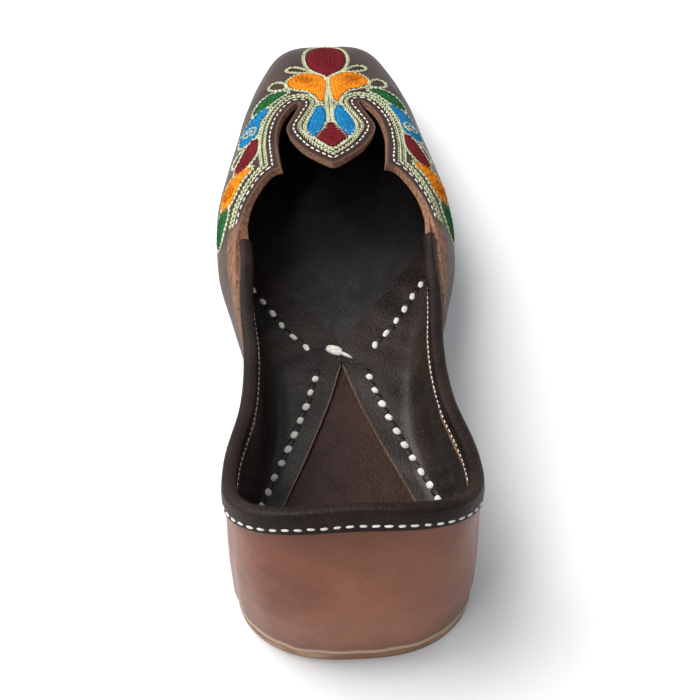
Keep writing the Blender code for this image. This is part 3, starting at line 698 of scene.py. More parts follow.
class Paint:
    """One material, with methods that add its nodes."""

    def __init__(self, name):
        self.material = bpy.data.materials.new(name)
        self.material.use_nodes = True
        self.tree = self.material.node_tree
        self.shader = self.tree.nodes["Principled BSDF"]
        self.objectPoint = self.node("ShaderNodeTexCoord", {}, {}, "Object")

    def node(self, kind, settings, inputs, output=0):
        """A node of a kind, with its settings made first and its sockets then set or linked."""
        made = self.tree.nodes.new(kind)
        for key, value in settings.items():
            setattr(made, key, value)
        pairs = inputs.items() if isinstance(inputs, dict) else enumerate(inputs)
        for key, value in pairs:
            self.put(made.inputs[key], value)
        return Value(self, made.outputs[output])

    def put(self, socket, value):
        """Links a value to a socket, or sets the socket to a constant."""
        if isinstance(value, Value):
            self.tree.links.new(value.socket, socket)
        elif socket.type == "RGBA" and len(value) == 3:
            socket.default_value = (*value, 1)
        else:
            socket.default_value = value

    def noise(self, scale, detail=3, roughness=0.5, distortion=0, at=None):
        """Soft noise from 0 to 1 over the object."""
        inputs = {"Vector": at or self.objectPoint, "Scale": scale, "Detail": detail,
                  "Roughness": roughness, "Distortion": distortion}
        return self.node("ShaderNodeTexNoise", {}, inputs, "Fac")

    def cells(self, scale, feature="DISTANCE_TO_EDGE"):
        """A pattern of cells: the distance from their edges, or with F1 from their middles."""
        inputs = {"Vector": self.objectPoint, "Scale": scale}
        return self.node("ShaderNodeTexVoronoi", {"feature": feature}, inputs, "Distance")

    def value(self, name):
        """A value kept on the mesh's points."""
        return self.node("ShaderNodeAttribute", {"attribute_name": name}, {}, "Fac")

    def along(self):
        """How far along the flat pattern a place lies."""
        uv = self.node("ShaderNodeUVMap", {"uv_map": "pattern"}, {}, "UV")
        return self.node("ShaderNodeSeparateXYZ", {}, [uv], "Y")

    def mix(self, share, first, second):
        """One colour turned into another by a share."""
        return self.node("ShaderNodeMix", {"data_type": "RGBA"}, {0: share, 6: first, 7: second}, 2)

    def bump(self, height, distance, under=None):
        """The relief of a height, over the relief under it."""
        inputs = {"Height": height, "Distance": distance, "Strength": 1}
        if under:
            inputs["Normal"] = under
        return self.node("ShaderNodeBump", {}, inputs, "Normal")

    def finish(self, colour, roughness, normal=None, coat=None, coatRoughness=0.3, gloss=0.3):
        """Joins the made nodes to the shader and gives the material."""
        self.put(self.shader.inputs["Base Color"], colour)
        self.put(self.shader.inputs["Roughness"], roughness)
        self.shader.inputs["Metallic"].default_value = 0
        self.shader.inputs["Specular IOR Level"].default_value = gloss
        if normal:
            self.put(self.shader.inputs["Normal"], normal)
        if coat is not None:
            self.put(self.shader.inputs["Coat Weight"], coat)
            self.shader.inputs["Coat Roughness"].default_value = coatRoughness
        return self.material


# Leathers


def grainBump(paint, scale, depth):
    """The pebbled grain of leather: small cells with rounded edges over a finer unevenness."""
    pebbles = paint.cells(scale).step(0.0, 0.35)
    pores = paint.noise(scale * 3.1, 2)
    low = paint.bump(paint.noise(scale * 0.22, 3, 0.6), depth * 2.2)
    return paint.bump(pebbles + pores * 0.5, depth, low)


vampColours = {
    "dark": (0.022, 0.0090, 0.0058), "worn": (0.047, 0.0190, 0.0120), "pores": (0.020, 0.010, 0.008),
    "raw dark": (0.13, 0.056, 0.033), "raw light": (0.32, 0.175, 0.112),
    "cut edge": (0.17, 0.095, 0.062), "painted highlight at the sole": (0.33, 0.24, 0.17),
}
quarterColours = {
    "dark": (0.120, 0.034, 0.0165), "light": (0.215, 0.078, 0.040), "streak": (0.155, 0.062, 0.033),
    "smoke": (0.07, 0.028, 0.016), "under the rim": (0.075, 0.028, 0.016), "low": (0.10, 0.044, 0.026),
    "painted highlight at the sole": (0.42, 0.31, 0.22), "pits": (0.05, 0.02, 0.012),
}


def makeVampLeather():
    """Dark brown leather, with its wings rubbed raw towards their tails and a pale cut edge."""
    paint = Paint("vamp leather")
    tone = vampColours
    patches = paint.noise(38, 4, 0.6).step(0.35, 0.7)
    fine = paint.noise(420, 3, 0.6)
    dark = paint.mix(patches, tone["dark"], tone["worn"])
    raw = paint.mix(paint.noise(260, 4, 0.7).step(0.3, 0.75), tone["raw dark"], tone["raw light"])
    tail = 1 - (paint.along() + paint.noise(160, 3) * 0.006).step(0.1480, 0.1585)
    strip = (paint.value("edge") + paint.noise(170, 3, 0.6) * 0.0012).step(0.0074, 0.0090)
    tail = tail * (1 - strip * 0.9)
    colour = paint.mix(tail, dark, raw)
    # Painted highlight: a pale line along the feather edge, where the rolled edge of the vamp meets the sole.
    feather = 1 - paint.value("up").step(0.0006, 0.0022)
    colour = paint.mix(feather * 0.8, colour, tone["painted highlight at the sole"])
    edge = 1 - paint.value("edge").step(0.0002, 0.0011)
    colour = paint.mix(edge * 0.55, colour, tone["cut edge"])
    colour = paint.mix(fine * 0.35, colour, tone["pores"])
    roughness = 0.36 + patches * 0.08 + tail * 0.3 + fine * 0.1
    return paint.finish(colour, roughness, grainBump(paint, 900, 0.00007), coat=(1 - tail) * 0.04, gloss=0.12)


def makeQuarterLeather():
    """Tan leather, clouded and smoked, with painted shade under the rim and a painted pale highlight at the
    sole.
    """
    paint = Paint("quarter leather")
    tone = quarterColours
    up = paint.value("up")
    cloud = paint.noise(24, 5, 0.62).step(0.32, 0.68)
    streak = paint.noise(70, 4, 0.65).step(0.4, 0.75)
    tan = paint.mix(cloud, tone["dark"], tone["light"])
    tan = paint.mix(streak * 0.45, tan, tone["streak"])
    smoke = paint.noise(300, 4, 0.7).step(0.62, 0.85)
    tan = paint.mix(smoke * 0.55, tan, tone["smoke"])
    # Painted shadow: the top of the quarter, under the binding, is darkened.
    top = (up + paint.noise(50, 3) * 0.012).step(0.042, 0.066)
    tan = paint.mix(top * 0.55, tan, tone["under the rim"])
    low = 1 - (up + paint.noise(90, 3) * 0.002).step(0.0025, 0.009)
    tan = paint.mix(low * 0.4, tan, tone["low"])
    # Painted highlight: a pale line along the feather edge, where the rolled edge of the quarter meets the
    # sole.
    feather = 1 - (up + paint.noise(220, 2) * 0.0006).step(0.0012, 0.0026)
    tan = paint.mix(feather * 0.75, tan, tone["painted highlight at the sole"])
    pits = paint.cells(190, "F1").step(0.02, 0.10)
    pitted = paint.noise(60, 2).step(0.55, 0.62)
    tan = paint.mix((1 - pits) * pitted * 0.6, tan, tone["pits"])
    roughness = 0.34 + cloud * 0.10 + smoke * 0.12
    swell = paint.bump(paint.noise(55, 3, 0.5), 0.0009)
    grain = paint.bump(paint.cells(620).step(0.0, 0.3) + paint.noise(1500, 2) * 0.6, 0.00005, swell)
    return paint.finish(tan, roughness, grain, coat=0.20, gloss=0.2)


def makeRawEdge():
    """Tan fibres where leather is cut."""
    paint = Paint("raw cut edge")
    fibres = paint.noise(900, 4, 0.7)
    colour = paint.mix(fibres.step(0.3, 0.75), (0.12, 0.05, 0.028), (0.34, 0.19, 0.12))
    return paint.finish(colour, 0.85, paint.bump(fibres, 0.0003), gloss=0.15)


def makeFleshSide():
    """The napped inner side of the vamp."""
    paint = Paint("flesh side of the vamp")
    nap = paint.noise(700, 4, 0.7)
    cloud = paint.noise(45, 3)
    colour = paint.mix(cloud, (0.15, 0.046, 0.022), (0.24, 0.085, 0.042))
    colour = paint.mix(nap * 0.4, colour, (0.10, 0.034, 0.018))
    return paint.finish(colour, 0.8, paint.bump(nap, 0.0002), gloss=0.15)


def makeDarkLeather(name, dark, light, scale, depth, roughness, coat, wrinkle=0, edged=False, gloss=0.14):
    """A dark grained leather, with wrinkles where it has been folded and a tan cut edge where it is edged."""
    paint = Paint(name)
    cloud = paint.noise(34, 4, 0.6).step(0.35, 0.7)
    colour = paint.mix(cloud, dark, light)
    pebbles = paint.cells(scale)
    rub = pebbles.step(0.02, 0.25) * paint.noise(130, 3).step(0.4, 0.7)
    colour = paint.mix(rub * 0.35, colour, tuple(min(1, c * 1.7) for c in light))
    normal = grainBump(paint, scale, depth)
    if wrinkle:
        folds = paint.noise(230, 3, 0.55, 0.8)
        normal = paint.bump(folds, wrinkle, normal)
    if edged:
        cut = 1 - (paint.value("edge") + paint.noise(300, 2) * 0.0003).step(0.0005, 0.0008)
        colour = paint.mix(cut * 0.7, colour, (0.125, 0.079, 0.057))
    return paint.finish(colour, roughness + cloud * 0.08, normal, coat=coat, coatRoughness=0.35, gloss=gloss)


def makeSoleLeather():
    """Tan sole leather, with thin layers that run level round its edge."""
    paint = Paint("sole leather")
    squeeze = [paint.objectPoint, (60, 60, 900)]
    flattened = paint.node("ShaderNodeVectorMath", {"operation": "MULTIPLY"}, squeeze, "Vector")
    layers = paint.noise(1.0, 3, 0.6, at=flattened)
    cloud = paint.noise(60, 4, 0.6)
    colour = paint.mix(layers.step(0.35, 0.7), (0.20, 0.105, 0.062), (0.36, 0.225, 0.145))
    colour = paint.mix(cloud.step(0.5, 0.8) * 0.6, colour, (0.13, 0.062, 0.036))
    return paint.finish(colour, 0.72, paint.bump(layers + paint.noise(500, 3), 0.00018))


def makeThread(name, colour, second, rows=0):
    """Twisted cotton thread, or with rows a surface filled with rows of it, with painted shade between the
    rows.
    """
    paint = Paint(name)
    twist = paint.noise(1500, 2, 0.6)
    soil = paint.noise(90, 3, 0.6).step(0.45, 0.8)
    tint = paint.mix(paint.noise(350, 3, 0.7).step(0.3, 0.72), colour, second)
    tint = paint.mix(soil * 0.3, tint, tuple(c * 0.45 for c in colour))
    normal = paint.bump(twist, 0.0002)
    if rows:
        line = paint.value("row")
        wave = paint.node("ShaderNodeMath", {"operation": "PINGPONG"}, [line / rows, 1.0])
        # Painted shade: the thread is darkened in the grooves between the rows.
        tint = paint.mix((1 - wave.step(0.0, 0.45)) * 0.5, tint, tuple(c * 0.35 for c in colour))
        normal = paint.bump(wave.power(0.6) + paint.noise(900, 3) * 0.5, 0.00035, normal)
    return paint.finish(tint, 0.8, normal, gloss=0.12)


darkLeathers = {
    "lining": {
        "name": "lining leather", "dark": (0.0075, 0.0047, 0.0041), "light": (0.026, 0.0165, 0.0135),
        "scale": 760, "depth": 0.00020, "roughness": 0.42, "coat": 0.30, "wrinkle": 0.00030, "edged": True,
    },
    # The puckers are darker than the lining: painted shade in the dimples between the thick stitches.
    "puckers": {
        "name": "puckered leather", "dark": (0.005, 0.0034, 0.003), "light": (0.012, 0.008, 0.0065),
        "scale": 700, "depth": 0.00012, "roughness": 0.4, "coat": 0.2,
    },
    "binding": {
        "name": "binding leather", "dark": (0.0085, 0.0045, 0.0038), "light": (0.022, 0.0122, 0.0100),
        "scale": 800, "depth": 0.00010, "roughness": 0.42, "coat": 0.05, "gloss": 0.09,
    },
    # The forepart's near-black is raised to a lighter, bluish tone: partly its own colour, partly painted
    # sheen.
    "forepart": {
        "name": "forepart leather", "dark": (0.016, 0.0140, 0.0155), "light": (0.031, 0.0270, 0.0300),
        "scale": 900, "depth": 0.00014, "roughness": 0.42, "coat": 0.15,
    },
    "heelSeat": {
        "name": "heel seat leather", "dark": (0.022, 0.0085, 0.0066), "light": (0.042, 0.0185, 0.0150),
        "scale": 900, "depth": 0.00016, "roughness": 0.50, "coat": 0.08,
    },
    # The midsole's near-black is partly its own colour and partly painted shadow of the gap under the upper's
    # edge.
    "midsole": {
        "name": "midsole edge", "dark": (0.010, 0.006, 0.004), "light": (0.022, 0.012, 0.008),
        "scale": 700, "depth": 0.0001, "roughness": 0.6, "coat": 0.0,
    },
}
leathers = {
    "vamp": makeVampLeather(),
    "quarter": makeQuarterLeather(),
    "edge": makeRawEdge(),
    "flesh": makeFleshSide(),
    **{key: makeDarkLeather(**look) for key, look in darkLeathers.items()},
    "sole": makeSoleLeather(),
}
threadRow = 0.85 * mm
threads = {
    "pale": makeThread("pale green thread", (0.36, 0.41, 0.235), (0.60, 0.62, 0.44)),
    "white": makeThread("white thread", (0.55, 0.53, 0.47), (0.76, 0.75, 0.70)),
    "red": makeThread("red thread", (0.135, 0.005, 0.010), (0.19, 0.010, 0.018), threadRow),
    "orange": makeThread("orange thread", (0.70, 0.19, 0.004), (0.86, 0.30, 0.010), threadRow),
    "blue": makeThread("blue thread", (0.004, 0.15, 0.36), (0.010, 0.24, 0.50), threadRow),
    "green": makeThread("green thread", (0.008, 0.070, 0.020), (0.018, 0.150, 0.040), threadRow),
}
print("materials made")


# Building blocks for the pieces


def hexGrid(low, high, step):
    """Points of a triangular lattice that fills a box of the flat pattern."""
    rows = np.arange(low[1], high[1], step * latticeRow)
    columns = np.arange(low[0], high[0], step)
    x, y = np.meshgrid(columns, rows)
    x = x + (np.arange(len(rows)) % 2 * step / 2)[:, None]
    return np.column_stack([x.ravel(), y.ravel()])


def triangulate(flat, edges, outline):
    """Triangles of a flat outline through all its points, turned to face up."""
    corners = [Vector(p) for p in (flat / mm).tolist()]
    result = delaunay_2d_cdt(corners, edges, [], 0, 1e-5)
    origin = [source[0] for source in result[3]]
    triangles = np.array([[origin[i] for i in face] for face in result[2]])
    triangles = triangles[inside(outline, flat[triangles].mean(axis=1))]
    a, b, c = (flat[triangles[:, i]] for i in range(3))
    area = (b[:, 0] - a[:, 0]) * (c[:, 1] - a[:, 1]) - (b[:, 1] - a[:, 1]) * (c[:, 0] - a[:, 0])
    triangles[area < 0] = triangles[area < 0][:, ::-1]
    return triangles[np.abs(area) > snap * mm]


def gridNormals(grid):
    """Unit normals of a grid of points, to the side on which rows and columns turn left."""
    rows = np.gradient(grid, axis=0)
    columns = np.gradient(grid, axis=1)
    normal = np.cross(rows, columns)
    return normal / np.linalg.norm(normal, axis=2)[..., None]


def slab(face, back, walls):
    """Points, faces and a mark for the walls of a plate between two grids."""
    rows, columns = face.shape[:2]
    top = np.arange(rows * columns).reshape(rows, columns)
    under = top + rows * columns
    quads = gridFaces(rows, columns)
    faces = quads.tolist() + (quads[:, ::-1] + rows * columns).tolist()
    plain = len(faces)
    sides = {
        "start": (top[0, :], under[0, :]),
        "end": (top[-1, ::-1], under[-1, ::-1]),
        "first": (top[::-1, 0], under[::-1, 0]),
        "last": (top[:, -1], under[:, -1]),
    }
    for side in walls:
        a, b = sides[side]
        faces += np.stack([a[:-1], a[1:], b[1:], b[:-1]], -1).tolist()
    marks = [0] * plain + [1] * (len(faces) - plain)
    return np.vstack([face.reshape(-1, 3), back.reshape(-1, 3)]), faces, marks


def sharpen(thing):
    """Edges that turn by more than the sharp angle are shown sharp."""
    thing.data.set_sharp_from_angle(angle=sharpAngle)


# The upper, worked out finely

upperLook = {
    "grid": 1.9, "edgeStep": 0.9, "featherStep": 1.6, "clear": 0.8, "seamRows": 36,
    "calmUnderBinding": 5, "calmAtThroat": 20,
}


def throatLine(step):
    """The free edge of the vamp on the flat pattern, from the wing's front corner to the tongue's tip."""
    corner = wingLine()[1][-1]
    ear = np.array([(row.across * ballWidth / 2, row.along * shoeLength) for row in earRows])
    tongue = np.array([(row.across * ballWidth / 2, row.along * shoeLength) for row in tongueRows])
    return np.vstack([
        smoothLine(np.vstack([corner, ear]), step),
        smoothLine(np.vstack([ear[-1], tongue]), step)[1:],
    ])


def evenLine(points, step):
    """A line cut again so that its points are a step apart."""
    length = np.concatenate([[0], np.cumsum(np.linalg.norm(np.diff(points, axis=0), axis=1))])
    at = np.linspace(0, length[-1], max(2, int(round(length[-1] / step)) + 1))
    return np.column_stack([np.interp(at, length, points[:, i]) for i in range(points.shape[1])])


def makeUpper():
    """The vamp, its wings and the quarter as one body whose outer wall steps out at the wing's edge.

    A flat triangle mesh is laid on the skin twice, at the outer face and at the inner one, and its free
    edges are joined. Along the wing's line the outer face has each point twice, low and raised.
    """
    step, edgeStep = upperLook["featherStep"] * mm, upperLook["edgeStep"] * mm
    footTurn, coarse = wingLine()
    wing = evenLine(coarse, edgeStep)
    throat = throatLine(edgeStep)
    front = turnsByStep(toeTip, footTurn, step)
    rear = turnsByStep(footTurn, backSeam, step)
    rise = np.linspace(0, 1, upperLook["seamRows"])[1:-1]
    backTurns = np.full(len(rise), backSeam)
    collar = turnsByStep(turnAt(collarFront), backSeam, step)[::-1]
    featherFront = featherLine(front)
    gap = featherFront[0, 1] - throat[-1, 1]
    centre = np.linspace(throat[-1, 1], featherFront[0, 1], int(gap / step))[1:-1]
    lines = [
        featherFront,
        featherLine(rear[1:]),
        toPattern(backTurns, rise * rimUp(backTurns)),
        toPattern(collar[:-1], rimUp(collar[:-1])),
        throat,
        np.column_stack([np.zeros(len(centre)), centre]),
    ]
    outline = np.vstack(lines)
    outline[outline[:, 0] < snap, 0] = 0
    foot = len(featherFront) - 1
    crossing = sum(len(line) for line in lines[:4])
    grid = hexGrid(outline.min(axis=0), outline.max(axis=0), upperLook["grid"] * mm)
    grid = grid[inside(outline, grid)]
    clear = upperLook["clear"] * mm
    grid = grid[distanceTo(np.vstack([outline, wing]), grid) > clear]
    grid = grid[grid[:, 0] > clear]
    between = wing[1:-1]
    flat = np.vstack([outline, between, grid])
    chain = [foot] + list(range(len(outline), len(outline) + len(between))) + [crossing]
    ring = list(zip(range(len(outline)), list(range(1, len(outline))) + [0]))
    triangles = triangulate(flat, ring + list(zip(chain, chain[1:])), outline)
    wingZone = np.vstack([wing, outline[crossing + 1:], outline[:foot]])
    thick = inside(wingZone, flat[triangles].mean(axis=1))
    thinCopy = np.arange(len(flat))
    thickCopy = thinCopy.copy()
    thickCopy[chain] = len(flat) + np.arange(len(chain))
    inFront = np.zeros(len(flat), bool)
    inFront[triangles[thick].ravel()] = True
    inFront[chain] = False
    turn, up = fromPattern(flat)
    underBinding = ease(0, upperLook["calmUnderBinding"] * mm, rimUp(turn) - up - outsideLeg(turn))
    pastCollar = ease(collarFront, collarFront + upperLook["calmAtThroat"] * mm, flat[:, 1])
    calm = np.where(flat[:, 1] < wingTail, underBinding, np.maximum(pastCollar, underBinding))
    uneven = unevenness(flat) * calm
    outer = layFlat(flat, np.where(inFront, wingOffset(flat), 0) + uneven)
    raised = layFlat(flat[chain], wingOffset(flat[chain]) + uneven[chain])
    inner = layFlat(flat, np.full(len(flat), -upperWall))
    firstInner = len(outer) + len(raised)
    faces, slots, halfEdges = [], [], {}
    for corners, isThick in zip(triangles.tolist(), thick):
        copy = thickCopy if isThick else thinCopy
        faces.append([copy[c] for c in corners])
        faces.append([firstInner + c for c in corners[::-1]])
        slots += [0 if isThick else 1, 3]
        for a, b in zip(corners, corners[1:] + corners[:1]):
            halfEdges[a, b] = copy
    for (a, b), copy in halfEdges.items():
        onCentre = flat[a, 0] == 0 and flat[b, 0] == 0
        if (b, a) not in halfEdges and not onCentre:
            faces.append([copy[b], copy[a], firstInner + a, firstInner + b])
            slots.append(2)
    for a, b in zip(chain, chain[1:]):
        low, high = (a, b) if halfEdges[a, b] is thinCopy else (b, a)
        faces.append([thinCopy[high], thinCopy[low], thickCopy[low], thickCopy[high]])
        slots.append(2)
    points = np.vstack([outer, raised, inner])
    spread = np.vstack([flat, flat[chain], flat])
    cutLines = np.vstack([throat, wing])
    edge = np.minimum(distanceTo(cutLines, flat), farFromEdge)
    kept = {"up": up, "edge": edge}
    values = {key: np.concatenate([value, value[chain], value]) for key, value in kept.items()}
    points, faces, slots, uv, values = bothSides(points, faces, slots, spread, values)
    materials = [leathers["vamp"], leathers["quarter"], leathers["edge"], leathers["flesh"]]
    piece = makeMesh("fine_upper", points, faces, materials, slots, uv, values)
    sharpen(piece)
    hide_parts("upper")


makeUpper()
print("upper made")


# The layers of the bottom

soleLook = {"step": 1.8, "rimPoints": 9, "outsoleBevel": 0.7, "midsoleBevel": 0.3}


def makeLayer(name, node, inset, bottom, thickness, bevel, material):
    """A flat layer from one side of its outline to the other, with its rim rounded by the bevel."""
    turns = turnsByStep(toeTip, backSeam, soleLook["step"] * mm)
    ray = rays(turns)
    rimPoints = soleLook["rimPoints"]
    half = rimPoints // 2
    edge = (sections(turns)[1][:, 0] - inset)[:, None]
    arc = np.linspace(-np.pi / 2, np.pi / 2, rimPoints)
    out = np.concatenate([[0, 0.35, 0.7], np.full(rimPoints, 1.0), [0.7, 0.35, 0]])
    drawn = np.concatenate([[0, 0, 0], bevel * (1 - np.cos(arc)), [0, 0, 0]])
    heights = np.concatenate([
        [bottom] * 3, bottom + bevel + bevel * np.sin(arc[:half]), [bottom + thickness / 2],
        bottom + thickness - bevel + bevel * np.sin(arc[half + 1:]), [bottom + thickness] * 3,
    ])
    distance = edge * out - drawn
    x = ray.dx[:, None] * distance
    y = ray.root[:, None] + ray.dy[:, None] * distance
    x[np.abs(x) < snap] = 0
    points = np.stack([x, y - middle, lift(y) + heights], -1).reshape(-1, 3)
    faces = gridFaces(len(turns), len(out)).tolist()
    points, faces = bothSides(points, faces)[:2]
    piece = makeMesh(name, points, faces, [material])
    sharpen(piece)
    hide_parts(node)


makeLayer("fine_outsole", "outsole", soleInset, 0, outsoleWall,
          soleLook["outsoleBevel"] * mm, leathers["sole"])
makeLayer("fine_midsole", "midsole", soleInset + midsoleInset, outsoleWall + seamGap,
          midsoleWall, soleLook["midsoleBevel"] * mm, leathers["midsole"])
print("soles made")


# The linings

liningLook = {
    "step": 1.6, "wallRows": 34, "bendRows": 9, "flapRows": 22, "wrinkle": 0.30, "wallEnds": (140, 146),
    "wallLeft": 0.03,
}
floorTop = soleStack + insoleWall + seamGap


def flapEdge(turns, floorOut):
    """How far out along each ray the edge of the lining's flap lies on the floor of the shoe."""
    ray = rays(turns)
    front = (ray.y - knotFront) / (liningFront - knotFront) * flapAtFront
    rear = follow(flapRows, "across", ray.y / shoeLength) * ballWidth / 2
    edge = np.where(ray.y > knotFront, front, np.where(ray.y > knotBack, 0, rear))
    atHeel = floorOut - heelFlange
    edge = np.where(turns > heelStart, atHeel, np.minimum(edge, atHeel))
    return np.maximum(edge, seamGap / 2)


def alongRays(turns, distances, z):
    """A grid of points at the given distances out along each ray, at height z over the sole's lift there."""
    ray = rays(turns)
    x = ray.dx[:, None] * distances
    y = ray.root[:, None] + ray.dy[:, None] * distances
    return np.stack([x, y, lift(y) + z], -1)


liningGrids = {}


def makeLining(name, node, side):
    """One half of the lining: up the inner wall to the binding, and in over the insole as a flap.

    The bend between them is a quadratic curve, and waves of three lengths make its inner face wrinkled.
    """
    turns = turnsByStep(turnAt(liningFront), backSeam - seamTurn, liningLook["step"] * mm)
    ray = rays(turns)
    floorZ = lift(ray.y) + floorTop
    depth = -(upperWall + liningGap)
    top = rimUp(turns) - bindingInside - seamGap
    knee = upAtHeight(turns, floorZ + floorRadius)
    low, high = (value * mm for value in liningLook["wallEnds"])
    top = knee + (top - knee) * (1 - ease(low, high, ray.y) * (1 - liningLook["wallLeft"]))
    share = np.linspace(0, 1, liningLook["wallRows"])[None, :]
    wall = layUp(turns[:, None], top[:, None] + (knee - top)[:, None] * share, depth)
    corner = layUp(turns, upAtHeight(turns, floorZ), depth)
    for grid in (wall, corner):
        grid[..., 1] += middle
    outward = np.column_stack([ray.dx, ray.dy, np.zeros(len(turns))])
    bendEnd = corner - outward * floorRadius
    t = np.linspace(0, 1, liningLook["bendRows"])[None, 1:, None]
    bend = (1 - t) ** 2 * wall[:, -1:] + 2 * t * (1 - t) * corner[:, None] + t**2 * bendEnd[:, None]
    cornerOut = corner[:, 0] * ray.dx + (corner[:, 1] - ray.root) * ray.dy
    bendOut = cornerOut - floorRadius
    edge = flapEdge(turns, cornerOut)
    share = np.linspace(0, 1, liningLook["flapRows"])[None, 1:]
    flap = alongRays(turns, bendOut[:, None] + (edge - bendOut)[:, None] * share, floorTop)
    outer = np.concatenate([wall, bend, flap], axis=1)
    x, y, z = (outer[..., i] / mm for i in range(3))
    folds = np.sin(y / 5.1 + 1.7 * np.sin(z / 7.3 + side) + x / 9)
    folds = folds * np.sin(z / 4.3 + 1.1 * np.sin(y / 12) + x / 6)
    folds = folds + 0.5 * np.sin(y / 2.7 + x / 3.1 + 2 * np.sin(y / 9.7))
    thickness = liningWall + liningLook["wrinkle"] * mm * (0.6 + folds) * 0.6
    inner = outer - gridNormals(outer) * thickness[..., None]
    for grid in (outer, inner):
        grid[..., 0] = side * np.maximum(grid[..., 0], seamGap / 2)
        grid[..., 1] -= middle
    liningGrids[side] = (turns, inner, gridNormals(inner) * -side)
    fromEdge = np.linalg.norm(inner - inner[:, -1:], axis=2)
    fromEdge[ray.y > knotBack] = farFromEdge
    points, faces, marks = slab(outer, inner, ["start", "end", "first", "last"])
    if side < 0:
        faces = [face[::-1] for face in faces]
    values = {"edge": np.concatenate([fromEdge.ravel(), fromEdge.ravel()])}
    piece = makeMesh(name, points, faces, [leathers["lining"], leathers["edge"]], marks, values=values)
    sharpen(piece)
    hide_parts(node)


makeLining("fine_lining_right", "lining_right", 1)
makeLining("fine_lining_left", "lining_left", -1)
print("linings made")


# The strip folded over the rim

bindingLook = {
    "step": 1.2, "wave": 0.35, "waveLength": 4.1, "calmAtHeel": 30, "overLining": 0.35, "lip": 0.3,
    "lipTuck": 0.35, "belly": 0.1, "topPoints": 13,
}


def makeBinding():
    """The strip folded over the rim: a profile of out and up, carried along the rim."""
    turns = turnsByStep(turnAt(bindingFront), backSeam, bindingLook["step"] * mm)
    y = rays(turns).y
    rim = rimUp(turns)[:, None]
    leg = outsideLeg(turns)[:, None]
    waves = bindingLook["wave"] * mm * np.sin(y / (bindingLook["waveLength"] * mm))
    foot = (waves * ease(0, bindingLook["calmAtHeel"] * mm, y))[:, None] - leg
    near, far = bindingGap, -upperWall - bindingGap
    wide, deep = near + bindingWall, far - bindingWall
    down = bindingInside + bindingLook["overLining"] * mm
    lip, tuck, belly = (bindingLook[key] * mm for key in ("lip", "lipTuck", "belly"))
    arc = np.linspace(0, np.pi, bindingLook["topPoints"])
    centre = (wide + deep) / 2
    topOut = centre + (wide - deep) / 2 * np.cos(arc)
    lowOut = centre + (near - far) / 2 * np.cos(arc)

    def profileUp(rise):
        level = np.zeros_like(rim)
        innerLeg = [level - bindingInside * 0.5, level - down + lip, level - down]
        return rim + np.hstack([foot, foot + lip, -leg * 0.5, level + rise * np.sin(arc), *innerLeg])

    overOut = np.concatenate([[wide - tuck, wide, wide + belly], topOut, [deep - belly, deep, deep + tuck]])
    underOut = np.concatenate([[near] * 3, lowOut, [far] * 3])
    outer = layUp(turns[:, None], profileUp(seamGap + bindingWall), overOut)
    inner = layUp(turns[:, None], profileUp(seamGap), underOut)
    points, faces, _ = slab(inner, outer, ["start", "first", "last"])
    points, faces = bothSides(points, faces)[:2]
    piece = makeMesh("fine_binding", points, faces, [leathers["binding"]])
    sharpen(piece)
    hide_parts("collar_binding")


makeBinding()
print("binding made")


# Threads: every stitch is a small rounded lobe set on the surface


def curveOf(points, step, closed=False):
    """A smooth line through charted points in millimetres, in metres, with points a step apart."""
    points = np.array(points, float) * mm
    if not closed:
        return evenLine(smoothLine(points, 0.2 * mm), step * mm)
    around = np.vstack([points[-2:], points, points[:2]])
    parts = smoothLine(around, 0.2 * mm)
    ends = np.flatnonzero(np.linalg.norm(parts - points[0], axis=1) < snap)
    return evenLine(parts[ends[0]:ends[-1] + 1], step * mm)


shiftLook = {"slack": 0.06, "joinGap": 2.5, "step": 0.3, "fewest": 4}


def shifted(line, distance, closed=False):
    """Runs of a line moved sideways to its left, without the parts that come nearer than the distance."""
    if closed:
        around = np.vstack([line[-2], line, line[1]])
        tangent = around[2:] - around[:-2]
    else:
        tangent = np.gradient(line, axis=0)
    tangent /= np.linalg.norm(tangent, axis=1)[:, None]
    moved = line + np.column_stack([-tangent[:, 1], tangent[:, 0]]) * distance
    keep = distanceTo(line, moved) > abs(distance) - shiftLook["slack"] * mm
    runs, run = [], []
    for point, good in zip(moved, keep):
        if good:
            run.append(point)
        elif run:
            runs.append(np.array(run))
            run = []
    if run:
        runs.append(np.array(run))
    if not runs:
        return []
    longer = [runs[0]]
    for run in runs[1:]:
        if np.linalg.norm(run[0] - longer[-1][-1]) < shiftLook["joinGap"] * mm:
            longer[-1] = np.vstack([longer[-1], run])
        else:
            longer.append(run)
    return [evenLine(run, shiftLook["step"] * mm) for run in longer if len(run) >= shiftLook["fewest"]]


Track = namedtuple("Track", "point tangent normal")


def trackOf(point, normal):
    """A line of stitches: its places, their directions and the normals of what it lies on."""
    tangent = np.gradient(point, axis=0)
    tangent /= np.linalg.norm(tangent, axis=1)[:, None]
    return Track(point, tangent, normal)


def flatTrack(line, offset, mirror=1):
    """A line of the flat pattern as places, directions and normals on the vamp."""
    line = line * [mirror, 1]
    height = vampOffset(line) + offset
    point = layFlat(line, height)
    over = layFlat(line, height + normalStep)
    return trackOf(point, (over - point) / normalStep)


lobeLook = {"around": 6, "along": 7, "blunt": 2.6, "tip": 0.02, "sink": 0.35}


